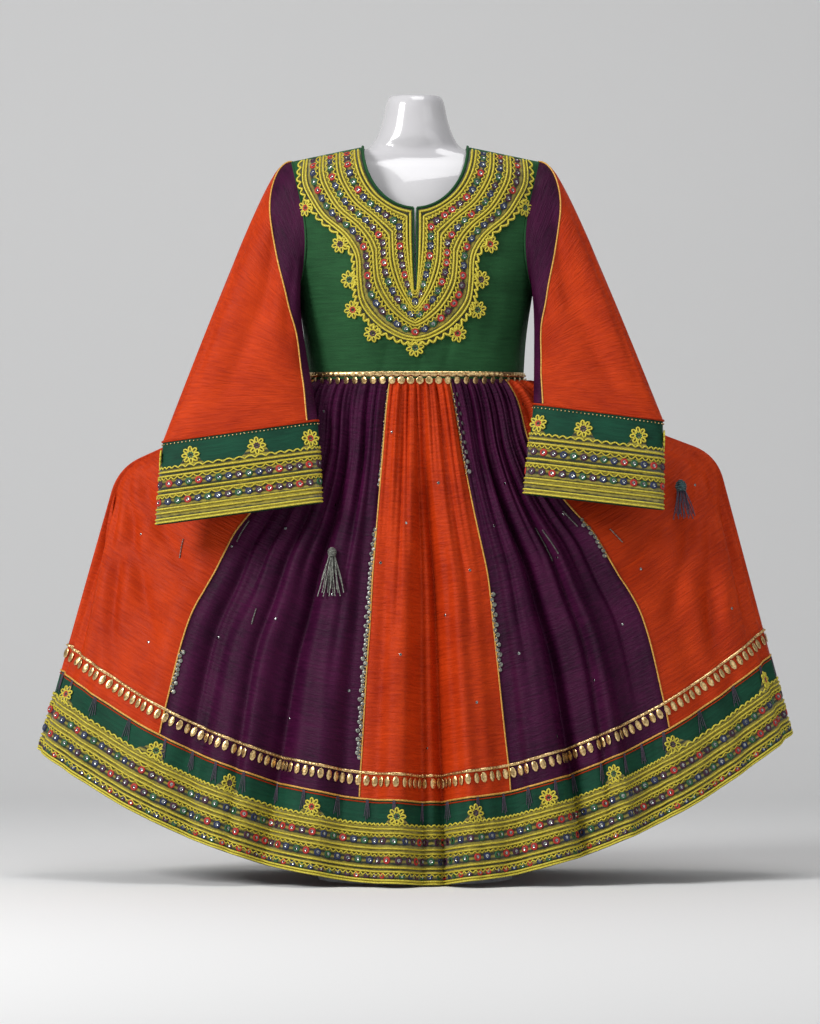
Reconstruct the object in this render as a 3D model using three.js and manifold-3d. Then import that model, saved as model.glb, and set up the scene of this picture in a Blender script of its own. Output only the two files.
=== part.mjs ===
// A long-sleeved dress with a gathered skirt of ten panels, worn by a limbless dress form on a round stand.
// Millimetres, +Z up, the front faces -Y, and the origin is the middle of the stand's underside.
// Left and right are the viewer's, seen from the front. The skirt's two sides are lifted out and folded over.
import * as THREE from "three";
import { mergeVertices } from "three/addons/utils/BufferGeometryUtils.js";
import Module from "manifold-3d";

const { clamp, degToRad, lerp, smoothstep } = THREE.MathUtils;

// Cloth and seams
const WALL = 1.5;
const SEAM_GAP = 0.3;
const HALF_GAP = SEAM_GAP / 2;

// Bodice
const WAIST_Z = 771;
const ARMPIT_Z = 912;
const SHOULDER_TIP_Z = 1109;
const NECK_POINT_Z = 1131;
const NECK_HALF_WIDTH = 81;
const SHOULDER_HALF_WIDTH = 189;
const FRONT_NECK_DROP = 99;
const BACK_NECK_DROP = 20;
const SHOULDER_ROUNDING = 45;
const BODY_POWER = 2.4;
const ARMHOLE = { hollow: 0.13, shape: 0.7, narrowing: 0.0357 };
const SLIT = { width: 3, bottom: 911, depth: 40 };

// The body surface under the bodice, from the waist to the shoulder tip.
const BODY = [
  { level: 771, halfWidth: 166, front: 105, back: 105 },
  { level: 840, halfWidth: 171, front: 112, back: 106 },
  { level: 912, halfWidth: 182, front: 118, back: 107 },
  { level: 950, halfWidth: 190, front: 117, back: 107 },
  { level: 990, halfWidth: 194, front: 112, back: 106 },
  { level: 1050, halfWidth: 196, front: 100, back: 98 },
  { level: 1109, halfWidth: 196, front: 88, back: 88 },
];

// Where the bodice's rows lie, as shares of the way from its upper edge to the waist.
const BODICE_ROWS = [0, 0.01, 0.03, 0.065, 0.12, 0.22, 0.36, 0.52, 0.68, 0.84, 1];
const NECK_ANGLES = [90, 87, 81, 70, 54, 36, 18];
const SHOULDER_COLUMNS = 3;

// Skirt: a level runs from 0 at the waist to 1 at the hem, along the cloth.
const HEM_Z = 4;
const SKIRT_COLUMNS = 120;
const HALF_COLUMNS = SKIRT_COLUMNS / 2;
const BAND_LEVEL = 0.835;
const SKIRT_LENGTH = 777;
const WAIST_DEPTH = 105.75;
const HEM_DEPTH = 212;
const LIFT_LEVEL = 0.42;
const LIFT_ROUNDING = 0.05;
const SKIRT_ROWS = [0, 0.025, 0.07, 0.14, 0.23, 0.33, 0.42, 0.53, 0.68, BAND_LEVEL];

// The lifted fold and the hem's corner on each side.
const SKIRT_SIDES = {
  left: { sign: -1, liftX: 460, liftZ: 635, cornerX: 582, cornerZ: 199 },
  right: { sign: 1, liftX: 467, liftZ: 655, cornerX: 582, cornerZ: 224 },
};

// Angles round the skirt at which the panels' seams lie, at five levels. 0 faces front, 90 is the right fold.
const SEAM_LEVELS = [0, 0.17, 0.42, 0.6, 0.8];
const SEAMS = [
  { column: 0, angles: [-90, -90, -90, -90, -90] },
  { column: 9, angles: [-67, -42, -38.7, -43.8, -45.2] },
  { column: 24, angles: [-12.9, -10, -8.3, -8.6, -8.9] },
  { column: 36, angles: [18.7, 15.3, 14.1, 14.6, 15.3] },
  { column: 51, angles: [55, 37.4, 37.2, 43, 44.4] },
  { column: 60, angles: [90, 90, 90, 90, 90] },
];

// How sharply the skirt closes to its side folds, by level: 1 is an ellipse, more is more pointed.
const SIDE_SHARPNESS = [
  { level: 0, power: 1 },
  { level: 0.2, power: 1.45 },
  { level: 0.42, power: 1.7 },
  { level: 0.6, power: 1.4 },
  { level: 1, power: 1.12 },
];

// Every sixth column is the bottom of a hanging fold: its depth at the hem.
const FOLDS = [
  { column: 0, depth: 0 },
  { column: 6, depth: 4 },
  { column: 12, depth: 9 },
  { column: 18, depth: 13 },
  { column: 24, depth: 10 },
  { column: 30, depth: 16 },
  { column: 36, depth: 11 },
  { column: 42, depth: 13 },
  { column: 48, depth: 9 },
  { column: 54, depth: 4 },
  { column: 60, depth: 0 },
  { column: 66, depth: 4 },
  { column: 72, depth: 8 },
  { column: 78, depth: 12 },
  { column: 84, depth: 11 },
  { column: 90, depth: 16 },
  { column: 96, depth: 10 },
  { column: 102, depth: 12 },
  { column: 108, depth: 8 },
  { column: 114, depth: 4 },
  { column: 120, depth: 0 },
];
const COLUMNS_PER_FOLD = 6;
const COLUMNS_PER_GATHER = 3;
const GATHER_DEPTH = 3;

// How far from a side fold, in columns, and from the waist, in levels, the cloth's normal is held level.
const SIDE_FOLD_SPAN = 0.3;
const WAIST_SPAN = 0.001;

// Ranges that a surface's parameters may move in when its normal is worked out.
const OPEN_RANGE = [-1e6, 1e6];
const LEVEL_RANGE = [0, 1];

// Hem band: a plain green top and a raised embroidered strip with a tab on every sixth column.
const EMBROIDERY_RAISE = 1.2;
const BAND_ROWS = { plainEdge: 0.3, step: 0.02, tabRise: 0.13, middle: 0.66 };
const BRAID_LEVELS = [0.782, 0.796];
const BRAID_THICKNESS = 1.4;
const BRAID_CLEARANCE = 0.6;

// Sleeves: corners of each cuff seen from the front, and how far the cuffs come forward.
const SLEEVES = {
  left: {
    sign: -1,
    top: { outerX: 384, outerZ: 675, innerX: 150, innerZ: 708 },
    bottom: { outerX: 392, outerZ: 547, innerX: 144, innerZ: 581 },
    forward: 117,
  },
  right: {
    sign: 1,
    top: { outerX: 377, outerZ: 708, innerX: 182, innerZ: 733 },
    bottom: { outerX: 375, outerZ: 570, innerX: 167, innerZ: 594 },
    forward: 117,
  },
};
const CUFF_HALF_DEPTH = 27;
const CUFF_LEAN = 34;
const ARMHOLE_GAP = 0.3;
const BODY_CLEARANCE = 4;
const BODY_BLEND = 8;
const CUFF_POWER = 0.8;
const SLEEVE_BULGE = 20;
const SLEEVE_FOLD = { depth: 5, angle: 70, width: 22 };
const SLEEVE_REACH_POWER = 0.4;
const SLEEVE_LENGTH = 450;
const SLEEVE_RADII = [75, 90];
const SLEEVE_SEAM_MARGIN = 0.1;
const SLEEVE_ROWS = [0, 0.05, 0.13, 0.24, 0.38, 0.54, 0.7, 0.85, 1];
const SLEEVE_PANEL_COLUMNS = 12;
const CUFF_COLUMNS = 28;
const CUFF_ROWS = { plainEdge: 0.34, step: 0.03, tabRise: 0.14, middle: 0.68 };
const CUFF_TAB_EVERY = 4;
const CUFF_LENGTH = 128;

// Half the angle that the outer sleeve panel covers, from the shoulder to the cuff.
const SLEEVE_SEAM = [
  { level: 0, angle: 9 },
  { level: 0.1, angle: 34 },
  { level: 0.2, angle: 70 },
  { level: 0.3, angle: 102 },
  { level: 0.45, angle: 132 },
  { level: 0.7, angle: 145 },
  { level: 1, angle: 150 },
];

// Embroidered yoke: its outer edge on one side, from the shoulder to the lowest point, and its tabs.
const YOKE_EDGE = [
  { level: 0, x: 176, z: 1106 },
  { level: 0.1, x: 176, z: 1072 },
  { level: 0.19, x: 164, z: 1044 },
  { level: 0.28, x: 146, z: 1016 },
  { level: 0.38, x: 112, z: 985 },
  { level: 0.46, x: 95, z: 955 },
  { level: 0.58, x: 93, z: 915 },
  { level: 0.7, x: 86, z: 878 },
  { level: 0.83, x: 58, z: 846 },
  { level: 0.93, x: 24, z: 828 },
  { level: 1, x: 0, z: 824 },
];
const YOKE_HALF_STEPS = 28;
const YOKE_NECK_STEPS = 15;
const YOKE_RINGS = 4;
const YOKE_TABS = [6, 11, 15, 19, 23, 28];
const YOKE_TAB_REACH = 13;
const YOKE_CLEARANCE = 1.7;
const YOKE_THICKNESS = 1.5;
const YOKE_INNER = { firstAngle: 87, lastAngle: 3, margin: 2, slitX: 3.2 };

const BINDING = { width: 3, lift: 0.7, gap: 0.5, slitX: 4.5 };
const WAIST_BRAID = { low: 773.4, high: 782.4, clearance: 0.7, thickness: 1.5, columns: 44 };

// Dress form: half width and half depth of its sections, from the underside to the top of the neck.
const FORM_SECTIONS = [
  { z: 560, halfWidth: 140, halfDepth: 88 },
  { z: 572, halfWidth: 154, halfDepth: 99 },
  { z: 620, halfWidth: 157, halfDepth: 101 },
  { z: 700, halfWidth: 147, halfDepth: 93 },
  { z: 771, halfWidth: 136, halfDepth: 84 },
  { z: 840, halfWidth: 146, halfDepth: 93 },
  { z: 912, halfWidth: 157, halfDepth: 101 },
  { z: 990, halfWidth: 159, halfDepth: 96 },
  { z: 1045, halfWidth: 159, halfDepth: 82 },
  { z: 1078, halfWidth: 159, halfDepth: 70 },
  { z: 1098, halfWidth: 156, halfDepth: 60 },
  { z: 1109.5, halfWidth: 148, halfDepth: 52 },
  { z: 1119, halfWidth: 124, halfDepth: 49 },
  { z: 1126, halfWidth: 90, halfDepth: 47 },
  { z: 1129.5, halfWidth: 74, halfDepth: 47 },
  { z: 1145, halfWidth: 61, halfDepth: 50 },
  { z: 1172, halfWidth: 51, halfDepth: 47 },
  { z: 1203, halfWidth: 44, halfDepth: 43 },
  { z: 1210, halfWidth: 39, halfDepth: 38 },
];
const FORM_COLUMNS = 28;

const BASE = { radius: 150, thickness: 10, chamfer: 3, segments: 48 };
const POST = { radius: 12.5, segments: 24 };

// Tassels hang on the skirt: column and level of the head's middle, how far it stands off, and its sizes.
const TASSELS = [
  { name: "tassel_front_left", column: 19.6, level: 0.366, off: 8.4, length: 62, spread: 15, headRadius: 6.5 },
  { name: "tassel_front_right", column: 55.2, level: 0.42, off: 9.3, length: 46, spread: 11, headRadius: 8.5 },
  { name: "tassel_back_right", column: 64.8, level: 0.42, off: 9.3, length: 46, spread: 11, headRadius: 8.5 },
  { name: "tassel_back_left", column: 100.4, level: 0.366, off: 8.4, length: 62, spread: 15, headRadius: 6.5 },
];
const TASSEL_STRANDS = 9;
const STRAND_RADIUS = 1.1;
const STRAND_SETBACK = 1.6;
const STRAND_FAN = 1.3;
const STRAND_START = 0.7;

// The outline of half a tassel's head, in head radii: distance from its axis and height.
const HEAD_PROFILE = [
  [0, -1],
  [0.8, -1],
  [1, -0.5],
  [0.9, 0.2],
  [0.45, 0.85],
  [0, 1],
];

const COLOURS = {
  orange: { color: 0xd23a08, roughness: 0.55 },
  purple: { color: 0x3a0f40, roughness: 0.5 },
  green: { color: 0x0f5a34, roughness: 0.75 },
  gold: { color: 0xc2a21e, roughness: 0.6 },
  trim: { color: 0xc08a4a, roughness: 0.4, metalness: 0.6 },
  silver: { color: 0x6f7468, roughness: 0.4, metalness: 0.5 },
  form: { color: 0xe6e4e6, roughness: 0.25 },
  steel: { color: 0x9a9ca0, roughness: 0.35, metalness: 0.9 },
};
const materials = Object.fromEntries(
  Object.entries(COLOURS).map(([name, look]) => [name, new THREE.MeshStandardMaterial(look)]),
);

const dress = new THREE.Group();

/** Adds a closed geometry to the model as one named piece. */
function addPiece(name, geometry, material) {
  const mesh = new THREE.Mesh(geometry, materials[material]);
  mesh.name = name;
  dress.add(mesh);
}

/** A smooth curve through one column of a table whose rows are ordered by their level. */
function readTable(rows, key, level, levelKey = "level") {
  const last = rows.length - 1;
  const at = clamp(level, rows[0][levelKey], rows[last][levelKey]);
  let i = 0;
  while (i < last - 1 && rows[i + 1][levelKey] < at) i += 1;
  const slope = (k) => {
    const before = rows[Math.max(k - 1, 0)];
    const after = rows[Math.min(k + 1, last)];
    return (after[key] - before[key]) / (after[levelKey] - before[levelKey]);
  };
  const from = rows[i];
  const to = rows[i + 1];
  const span = to[levelKey] - from[levelKey];
  const t = (at - from[levelKey]) / span;
  const blend = t * t * (3 - 2 * t);
  const rise = span * (t * (1 - t) * (1 - t) * slope(i) - t * t * (1 - t) * slope(i + 1));
  return lerp(from[key], to[key], blend) + rise;
}

/** The unit normal of a surface at (a, b), by differences that stay inside the given ranges. */
function normalOf(surface, a, b, rangeA, rangeB, step) {
  const a0 = Math.max(a - step, rangeA[0]);
  const a1 = Math.min(a + step, rangeA[1]);
  const b0 = Math.max(b - step, rangeB[0]);
  const b1 = Math.min(b + step, rangeB[1]);
  const alongA = surface(a1, b).sub(surface(a0, b));
  const alongB = surface(a, b1).sub(surface(a, b0));
  return alongA.cross(alongB).normalize();
}

/** A closed indexed geometry whose faces point outwards. */
function closedGeometry(points, triangles) {
  const volume = triangles.reduce((sum, [a, b, c]) => {
    return sum + points[a].dot(new THREE.Vector3().crossVectors(points[b], points[c]));
  }, 0);
  const facing = volume < 0 ? triangles.map(([a, b, c]) => [a, c, b]) : triangles;
  const geometry = new THREE.BufferGeometry().setFromPoints(points);
  geometry.setIndex(facing.flat());
  return geometry;
}

/**
 * A wall between an outer and an inner skin. Each skin is a list of columns of points, from top to bottom.
 * The skins may have different numbers of rows. A closed wall joins its last column to its first.
 */
function wallGeometry(outer, inner, closed) {
  const points = [];
  const triangles = [];
  const store = (skin) => skin.map((column) => column.map((point) => points.push(point) - 1));
  const [outside, inside] = [store(outer), store(inner)];
  const count = outer.length;
  const spans = closed ? count : count - 1;
  const quad = (a, b, c, d) => triangles.push([a, b, c], [a, c, d]);
  for (let i = 0; i < spans; i += 1) {
    const next = (i + 1) % count;
    for (let j = 0; j + 1 < outside[i].length; j += 1)
      quad(outside[i][j], outside[i][j + 1], outside[next][j + 1], outside[next][j]);
    for (let j = 0; j + 1 < inside[i].length; j += 1)
      quad(inside[i][j], inside[next][j], inside[next][j + 1], inside[i][j + 1]);
    quad(outside[i][0], outside[next][0], inside[next][0], inside[i][0]);
    quad(outside[i].at(-1), inside[i].at(-1), inside[next].at(-1), outside[next].at(-1));
  }
  const closeSide = (a, b, flip) => {
    let [i, j] = [0, 0];
    while (i + 1 < a.length || j + 1 < b.length) {
      const stepA = j + 1 >= b.length || (i + 1 < a.length && (i + 1) * (b.length - 1) <= (j + 1) * (a.length - 1));
      const face = stepA ? [a[i], a[i + 1], b[j]] : [a[i], b[j + 1], b[j]];
      triangles.push(flip ? face.reverse() : face);
      if (stepA) i += 1;
      else j += 1;
    }
  };
  if (!closed) {
    closeSide(outside[0], inside[0], true);
    closeSide(outside[count - 1], inside[count - 1], false);
  }
  return closedGeometry(points, triangles);
}

/** The point moved along the normal. */
const moved = (point, normal, distance) => point.clone().addScaledVector(normal, distance);

/** Half width of the bodice's side edge at a height: the side seam, and above it the armhole. */
function edgeHalfWidth(z) {
  const body = readTable(BODY, "halfWidth", z);
  const rise = clamp((z - ARMPIT_Z) / (SHOULDER_TIP_Z - ARMPIT_Z), 0, 1);
  const hollow = ARMHOLE.hollow * Math.sin(Math.PI * rise ** ARMHOLE.shape);
  return body * (1 - hollow - ARMHOLE.narrowing * rise);
}

/** Height of the shoulder seam over a distance from the middle. */
function shoulderZ(x) {
  const out = clamp((Math.abs(x) - NECK_HALF_WIDTH) / (SHOULDER_HALF_WIDTH - NECK_HALF_WIDTH), 0, 1);
  return lerp(NECK_POINT_Z, SHOULDER_TIP_Z, out);
}

/** A point of the body surface on the front (face -1) or the back (face 1). */
function bodyPoint(x, z, face) {
  const halfWidth = readTable(BODY, "halfWidth", z);
  const depth = readTable(BODY, face < 0 ? "front" : "back", z);
  const across = Math.min(Math.abs(x) / halfWidth, 1) ** BODY_POWER;
  const over = clamp((z - shoulderZ(x) + SHOULDER_ROUNDING) / SHOULDER_ROUNDING, 0, 1);
  const y = depth * (1 - across) ** (1 / BODY_POWER) * Math.sqrt(1 - over * over);
  return new THREE.Vector3(x, face * Math.max(y, HALF_GAP), z);
}

/** The outward normal of the body surface. */
function bodyNormal(x, z, face) {
  const top = shoulderZ(x);
  const edge = readTable(BODY, "halfWidth", z);
  const surface = (a, b) => bodyPoint(a, b, face);
  const normal = normalOf(surface, clamp(x, -edge, edge), z, [-edge, edge], [WAIST_Z, top], 0.5);
  return normal.multiplyScalar(-face);
}

/** The upper end of a bodice column: across the shoulder, or along the neckline at an angle from the middle. */
function bodiceTops(neckDrop) {
  const tops = [];
  for (let i = 0; i < SHOULDER_COLUMNS; i += 1) {
    const x = lerp(SHOULDER_HALF_WIDTH, NECK_HALF_WIDTH, i / SHOULDER_COLUMNS);
    tops.push({ x: -x, z: shoulderZ(x) });
  }
  for (const angle of NECK_ANGLES) tops.push(neckEdge(-angle, neckDrop));
  return [...tops, neckEdge(0, neckDrop), ...tops.reverse().map(({ x, z }) => ({ x: -x, z }))];
}

/** A point on the neckline, at an angle from its lowest point. */
function neckEdge(angle, drop) {
  const turn = degToRad(angle);
  return { x: NECK_HALF_WIDTH * Math.sin(turn), z: NECK_POINT_Z - drop * Math.cos(turn) };
}

/** One face of the bodice as a wall from the neckline and shoulders down to the waist. */
function bodicePanel(face, neckDrop) {
  const outer = [];
  const inner = [];
  for (const top of bodiceTops(neckDrop)) {
    const share = top.x / edgeHalfWidth(top.z);
    const column = BODICE_ROWS.map((row) => {
      const z = lerp(top.z, WAIST_Z + HALF_GAP, row);
      const x = share * edgeHalfWidth(z);
      const normal = bodyNormal(x, z, face);
      if (row === 1) normal.setZ(0).normalize();
      return { point: bodyPoint(x, z, face), normal };
    });
    outer.push(column.map(({ point, normal }) => moved(point, normal, WALL)));
    inner.push(column.map(({ point }) => point));
  }
  return wallGeometry(outer, inner, false);
}

const wasm = await Module();
wasm.setup();

/** A closed geometry as a solid for cutting and joining. */
function solidOf(geometry) {
  const bare = geometry.clone();
  bare.deleteAttribute("normal");
  bare.deleteAttribute("uv");
  const merged = mergeVertices(bare, 1e-4);
  return new wasm.Manifold(
    new wasm.Mesh({
      numProp: 3,
      vertProperties: new Float32Array(merged.attributes.position.array),
      triVerts: new Uint32Array(merged.index.array),
    }),
  );
}

/** A solid as a geometry. */
function geometryOf(solid) {
  const mesh = solid.getMesh();
  const geometry = new THREE.BufferGeometry();
  geometry.setAttribute("position", new THREE.BufferAttribute(mesh.vertProperties, 3));
  geometry.setIndex(new THREE.BufferAttribute(mesh.triVerts, 1));
  return geometry;
}

/** The front of the bodice with its neck slit cut through. */
function bodiceFront() {
  const height = NECK_POINT_Z - FRONT_NECK_DROP + 10 - SLIT.bottom;
  const slit = new THREE.BoxGeometry(SLIT.width, 2 * SLIT.depth, height);
  slit.translate(0, -BODY[4].front, SLIT.bottom + height / 2);
  return geometryOf(solidOf(bodicePanel(-1, FRONT_NECK_DROP)).subtract(solidOf(slit)));
}

addPiece("bodice_front", bodiceFront(), "green");
addPiece("bodice_back", bodicePanel(1, BACK_NECK_DROP), "green");

/** The binding round the neck opening, from one side of the slit round the back to the other. */
function neckBinding() {
  const beside = (sign) => {
    const low = neckEdge(0, FRONT_NECK_DROP);
    const next = neckEdge(sign * NECK_ANGLES.at(-1), FRONT_NECK_DROP);
    const share = BINDING.slitX / Math.abs(next.x);
    return { face: -1, x: lerp(low.x, next.x, share), z: lerp(low.z, next.z, share) };
  };
  const side = (face, sign, angles) => {
    return angles.map((angle) => ({ face, ...neckEdge(sign * angle, face < 0 ? FRONT_NECK_DROP : BACK_NECK_DROP) }));
  };
  const rising = [...NECK_ANGLES].reverse();
  const lower = NECK_ANGLES.slice(1);
  const back = [...side(1, 1, lower), { face: 1, ...neckEdge(0, BACK_NECK_DROP) }, ...side(1, -1, lower.reverse())];
  const stops = [beside(1), ...side(-1, 1, rising), ...back, ...side(-1, -1, NECK_ANGLES), beside(-1)];
  const edge = stops.map(({ face, x, z }) => ({ point: bodyPoint(x, z, face), normal: bodyNormal(x, z, face) }));
  const skins = { outer: [], inner: [] };
  edge.forEach(({ point, normal }, i) => {
    const along = edge[Math.min(i + 1, edge.length - 1)].point.clone().sub(edge[Math.max(i - 1, 0)].point);
    const inward = normal.clone().cross(along).normalize();
    const near = moved(point, inward, BINDING.gap);
    const far = moved(point, inward, BINDING.gap + BINDING.width);
    skins.outer.push([moved(near, normal, WALL + BINDING.lift), moved(far, normal, WALL + BINDING.lift)]);
    skins.inner.push([moved(near, normal, -BINDING.lift), moved(far, normal, -BINDING.lift)]);
  });
  return wallGeometry(skins.outer, skins.inner, false);
}
addPiece("neck_binding", neckBinding(), "green");

/** The yoke's inner edge on one side, by share: down the neckline and then down beside the slit. */
function yokeInnerEdge(step) {
  if (step <= YOKE_NECK_STEPS) {
    const { firstAngle, lastAngle, margin } = YOKE_INNER;
    const turn = degToRad(lerp(firstAngle, lastAngle, step / YOKE_NECK_STEPS));
    return {
      x: (NECK_HALF_WIDTH + margin) * Math.sin(turn),
      z: NECK_POINT_Z - 2 * margin - (FRONT_NECK_DROP - margin) * Math.cos(turn),
    };
  }
  const down = (step - YOKE_NECK_STEPS) / (YOKE_HALF_STEPS - YOKE_NECK_STEPS);
  const from = NECK_POINT_Z - YOKE_INNER.margin - FRONT_NECK_DROP;
  const to = SLIT.bottom - 2 * YOKE_INNER.margin;
  return { x: step === YOKE_HALF_STEPS ? 0 : YOKE_INNER.slitX, z: lerp(from, to, down) };
}

/** The embroidered yoke, laid on the bodice's front from shoulder to shoulder. */
function yokePanel() {
  const outer = [];
  const inner = [];
  for (let i = -YOKE_HALF_STEPS; i <= YOKE_HALF_STEPS; i += 1) {
    const side = i < 0 ? -1 : 1;
    const step = YOKE_HALF_STEPS - Math.abs(i);
    const share = step / YOKE_HALF_STEPS;
    const from = yokeInnerEdge(step);
    const to = { x: readTable(YOKE_EDGE, "x", share), z: readTable(YOKE_EDGE, "z", share) };
    const width = Math.hypot(to.x - from.x, to.z - from.z);
    const reach = YOKE_TABS.includes(step) ? 1 + YOKE_TAB_REACH / width : 1;
    const columnOuter = [];
    const columnInner = [];
    for (let j = 0; j <= YOKE_RINGS; j += 1) {
      const across = (reach * j) / YOKE_RINGS;
      const x = side * lerp(from.x, to.x, across);
      const z = lerp(from.z, to.z, across);
      const point = bodyPoint(x, z, -1);
      const normal = bodyNormal(x, z, -1);
      columnInner.push(moved(point, normal, WALL + YOKE_CLEARANCE));
      columnOuter.push(moved(point, normal, WALL + YOKE_CLEARANCE + YOKE_THICKNESS));
    }
    outer.push(columnOuter);
    inner.push(columnInner);
  }
  return wallGeometry(outer, inner, false);
}
addPiece("yoke_panel", yokePanel(), "gold");

/** A point of the waist seam's ring, at an angle from the front, moved out by a distance. */
function waistPoint(angle, out, z) {
  const turn = degToRad(angle);
  const [across, deep] = [Math.sin(turn), -Math.cos(turn)];
  const power = 2 / BODY_POWER;
  const halfWidth = readTable(BODY, "halfWidth", z) + out;
  const depth = readTable(BODY, deep < 0 ? "front" : "back", z) + out;
  return new THREE.Vector3(
    halfWidth * Math.sign(across) * Math.abs(across) ** power,
    depth * Math.sign(deep) * Math.abs(deep) ** power,
    z,
  );
}

/** The braid sewn round the bodice just above the waist seam. */
function waistBraid() {
  const ring = (out, z) => {
    return (i) => waistPoint((360 * i) / WAIST_BRAID.columns, out, z);
  };
  const near = WALL + WAIST_BRAID.clearance;
  const far = near + WAIST_BRAID.thickness;
  const columns = [...Array(WAIST_BRAID.columns).keys()];
  const outer = columns.map((i) => [ring(far, WAIST_BRAID.high)(i), ring(far, WAIST_BRAID.low)(i)]);
  const inner = columns.map((i) => [ring(near, WAIST_BRAID.high)(i), ring(near, WAIST_BRAID.low)(i)]);
  return wallGeometry(outer, inner, true);
}
addPiece("waist_braid", waistBraid(), "trim");

/** Where the lifted fold runs on one side: out from the waist, over the lifted point, down to the hem's corner. */
function sideFold(side, level) {
  const outward = (at) => ({
    x: lerp(BODY[0].halfWidth + WALL / 2, side.liftX, at / LIFT_LEVEL),
    z: lerp(WAIST_Z, side.liftZ, at / LIFT_LEVEL),
  });
  const downward = (at) => ({
    x: lerp(side.liftX, side.cornerX, (at - LIFT_LEVEL) / (1 - LIFT_LEVEL)),
    z: lerp(side.liftZ, side.cornerZ, (at - LIFT_LEVEL) / (1 - LIFT_LEVEL)),
  });
  const past = clamp((level - LIFT_LEVEL + LIFT_ROUNDING) / (2 * LIFT_ROUNDING), 0, 1);
  if (past === 0) return outward(level);
  if (past === 1) return downward(level);
  const [a, b] = [outward(LIFT_LEVEL - LIFT_ROUNDING), downward(LIFT_LEVEL + LIFT_ROUNDING)];
  const corner = outward(LIFT_LEVEL);
  const round = (key) => lerp(lerp(a[key], corner[key], past), lerp(corner[key], b[key], past), past);
  return { x: round("x"), z: round("z") };
}

/** The angle of a skirt column at a level, in degrees: front from -90 to 90, back from 90 to 270. */
function skirtAngle(column, level) {
  const turned = ((column % SKIRT_COLUMNS) + SKIRT_COLUMNS) % SKIRT_COLUMNS;
  const isBack = turned > HALF_COLUMNS;
  const onFront = isBack ? SKIRT_COLUMNS - turned : turned;
  let k = 0;
  while (k < SEAMS.length - 2 && SEAMS[k + 1].column < onFront) k += 1;
  const seamAngle = (seam) => {
    const rows = SEAM_LEVELS.map((at, i) => ({ level: at, angle: seam.angles[i] }));
    return readTable(rows, "angle", level);
  };
  const share = (onFront - SEAMS[k].column) / (SEAMS[k + 1].column - SEAMS[k].column);
  const angle = lerp(seamAngle(SEAMS[k]), seamAngle(SEAMS[k + 1]), share);
  return isBack ? 180 - angle : angle;
}

/** The skirt without its folds. */
function skirtBase(column, level) {
  const angle = degToRad(skirtAngle(column, level));
  const across = Math.sin(angle);
  const facing = Math.cos(angle);
  const side = across < 0 ? SKIRT_SIDES.left : SKIRT_SIDES.right;
  const fold = sideFold(side, level);
  const middleZ = lerp(WAIST_Z, HEM_Z, level);
  const depth = lerp(WAIST_DEPTH, HEM_DEPTH, level ** 0.9);
  const atWaist = (1 - Math.min(Math.abs(across), 1) ** BODY_POWER) ** (1 / BODY_POWER);
  const below = Math.abs(facing) ** readTable(SIDE_SHARPNESS, "power", level);
  const y = depth * lerp(atWaist, below, smoothstep(level, 0, 0.12));
  const z = lerp(middleZ, fold.z, across * across);
  return new THREE.Vector3(fold.x * across, -Math.sign(facing) * y, z);
}

/** How far a column's folds and gathers stand out from the skirt without folds. */
function foldHeight(column, level) {
  const turned = ((column % SKIRT_COLUMNS) + SKIRT_COLUMNS) % SKIRT_COLUMNS;
  const depth = readTable(FOLDS, "depth", turned, "column");
  const hanging = -depth * smoothstep(level, 0.02, 0.8) * Math.cos((2 * Math.PI * turned) / COLUMNS_PER_FOLD);
  const gathered = GATHER_DEPTH * smoothstep(level, 0, 0.03) * (1 - smoothstep(level, 0.06, 0.42));
  return hanging - gathered * Math.cos((2 * Math.PI * turned) / COLUMNS_PER_GATHER);
}

/** The outward normal of one of the skirt's surfaces: straight sideways at the side folds, level at the waist. */
function outwardOf(surface, column, level) {
  const normal = normalOf(surface, column, level, OPEN_RANGE, LEVEL_RANGE, 0.02);
  if (normal.dot(skirtBase(column, level).setZ(0)) < 0) normal.negate();
  if (Math.abs(column - HALF_COLUMNS * Math.round(column / HALF_COLUMNS)) < SIDE_FOLD_SPAN) normal.setY(0);
  if (level < WAIST_SPAN) normal.setZ(0);
  return normal.normalize();
}

/** A point of the skirt's middle surface, with its folds. */
function skirtPoint(column, level) {
  return moved(skirtBase(column, level), outwardOf(skirtBase, column, level), foldHeight(column, level));
}

/** The outward normal of the skirt with its folds. */
const skirtNormal = (column, level) => outwardOf(skirtPoint, column, level);

/** How many columns a distance along the cloth spans, at a column and level. */
function columnsFor(distance, column, level) {
  const step = 0.05;
  const span = skirtPoint(column - step, level).distanceTo(skirtPoint(column + step, level));
  return (2 * step * distance) / span;
}

/** A panel of the skirt between two columns, over the given levels. */
function skirtPanel(first, last) {
  const rows = SKIRT_ROWS.map((level, i) => {
    if (i === 0) return HALF_GAP / SKIRT_LENGTH;
    return i === SKIRT_ROWS.length - 1 ? level - HALF_GAP / SKIRT_LENGTH : level;
  });
  const outer = [];
  const inner = [];
  for (let i = first; i <= last; i += 1) {
    const column = rows.map((level) => {
      const inset = i === first ? HALF_GAP : i === last ? -HALF_GAP : 0;
      const at = i + Math.sign(inset) * columnsFor(Math.abs(inset), i, level);
      return { point: skirtPoint(at, level), normal: skirtNormal(at, level) };
    });
    outer.push(column.map(({ point, normal }) => moved(point, normal, WALL / 2)));
    inner.push(column.map(({ point, normal }) => moved(point, normal, -WALL / 2)));
  }
  return wallGeometry(outer, inner, false);
}

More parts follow.
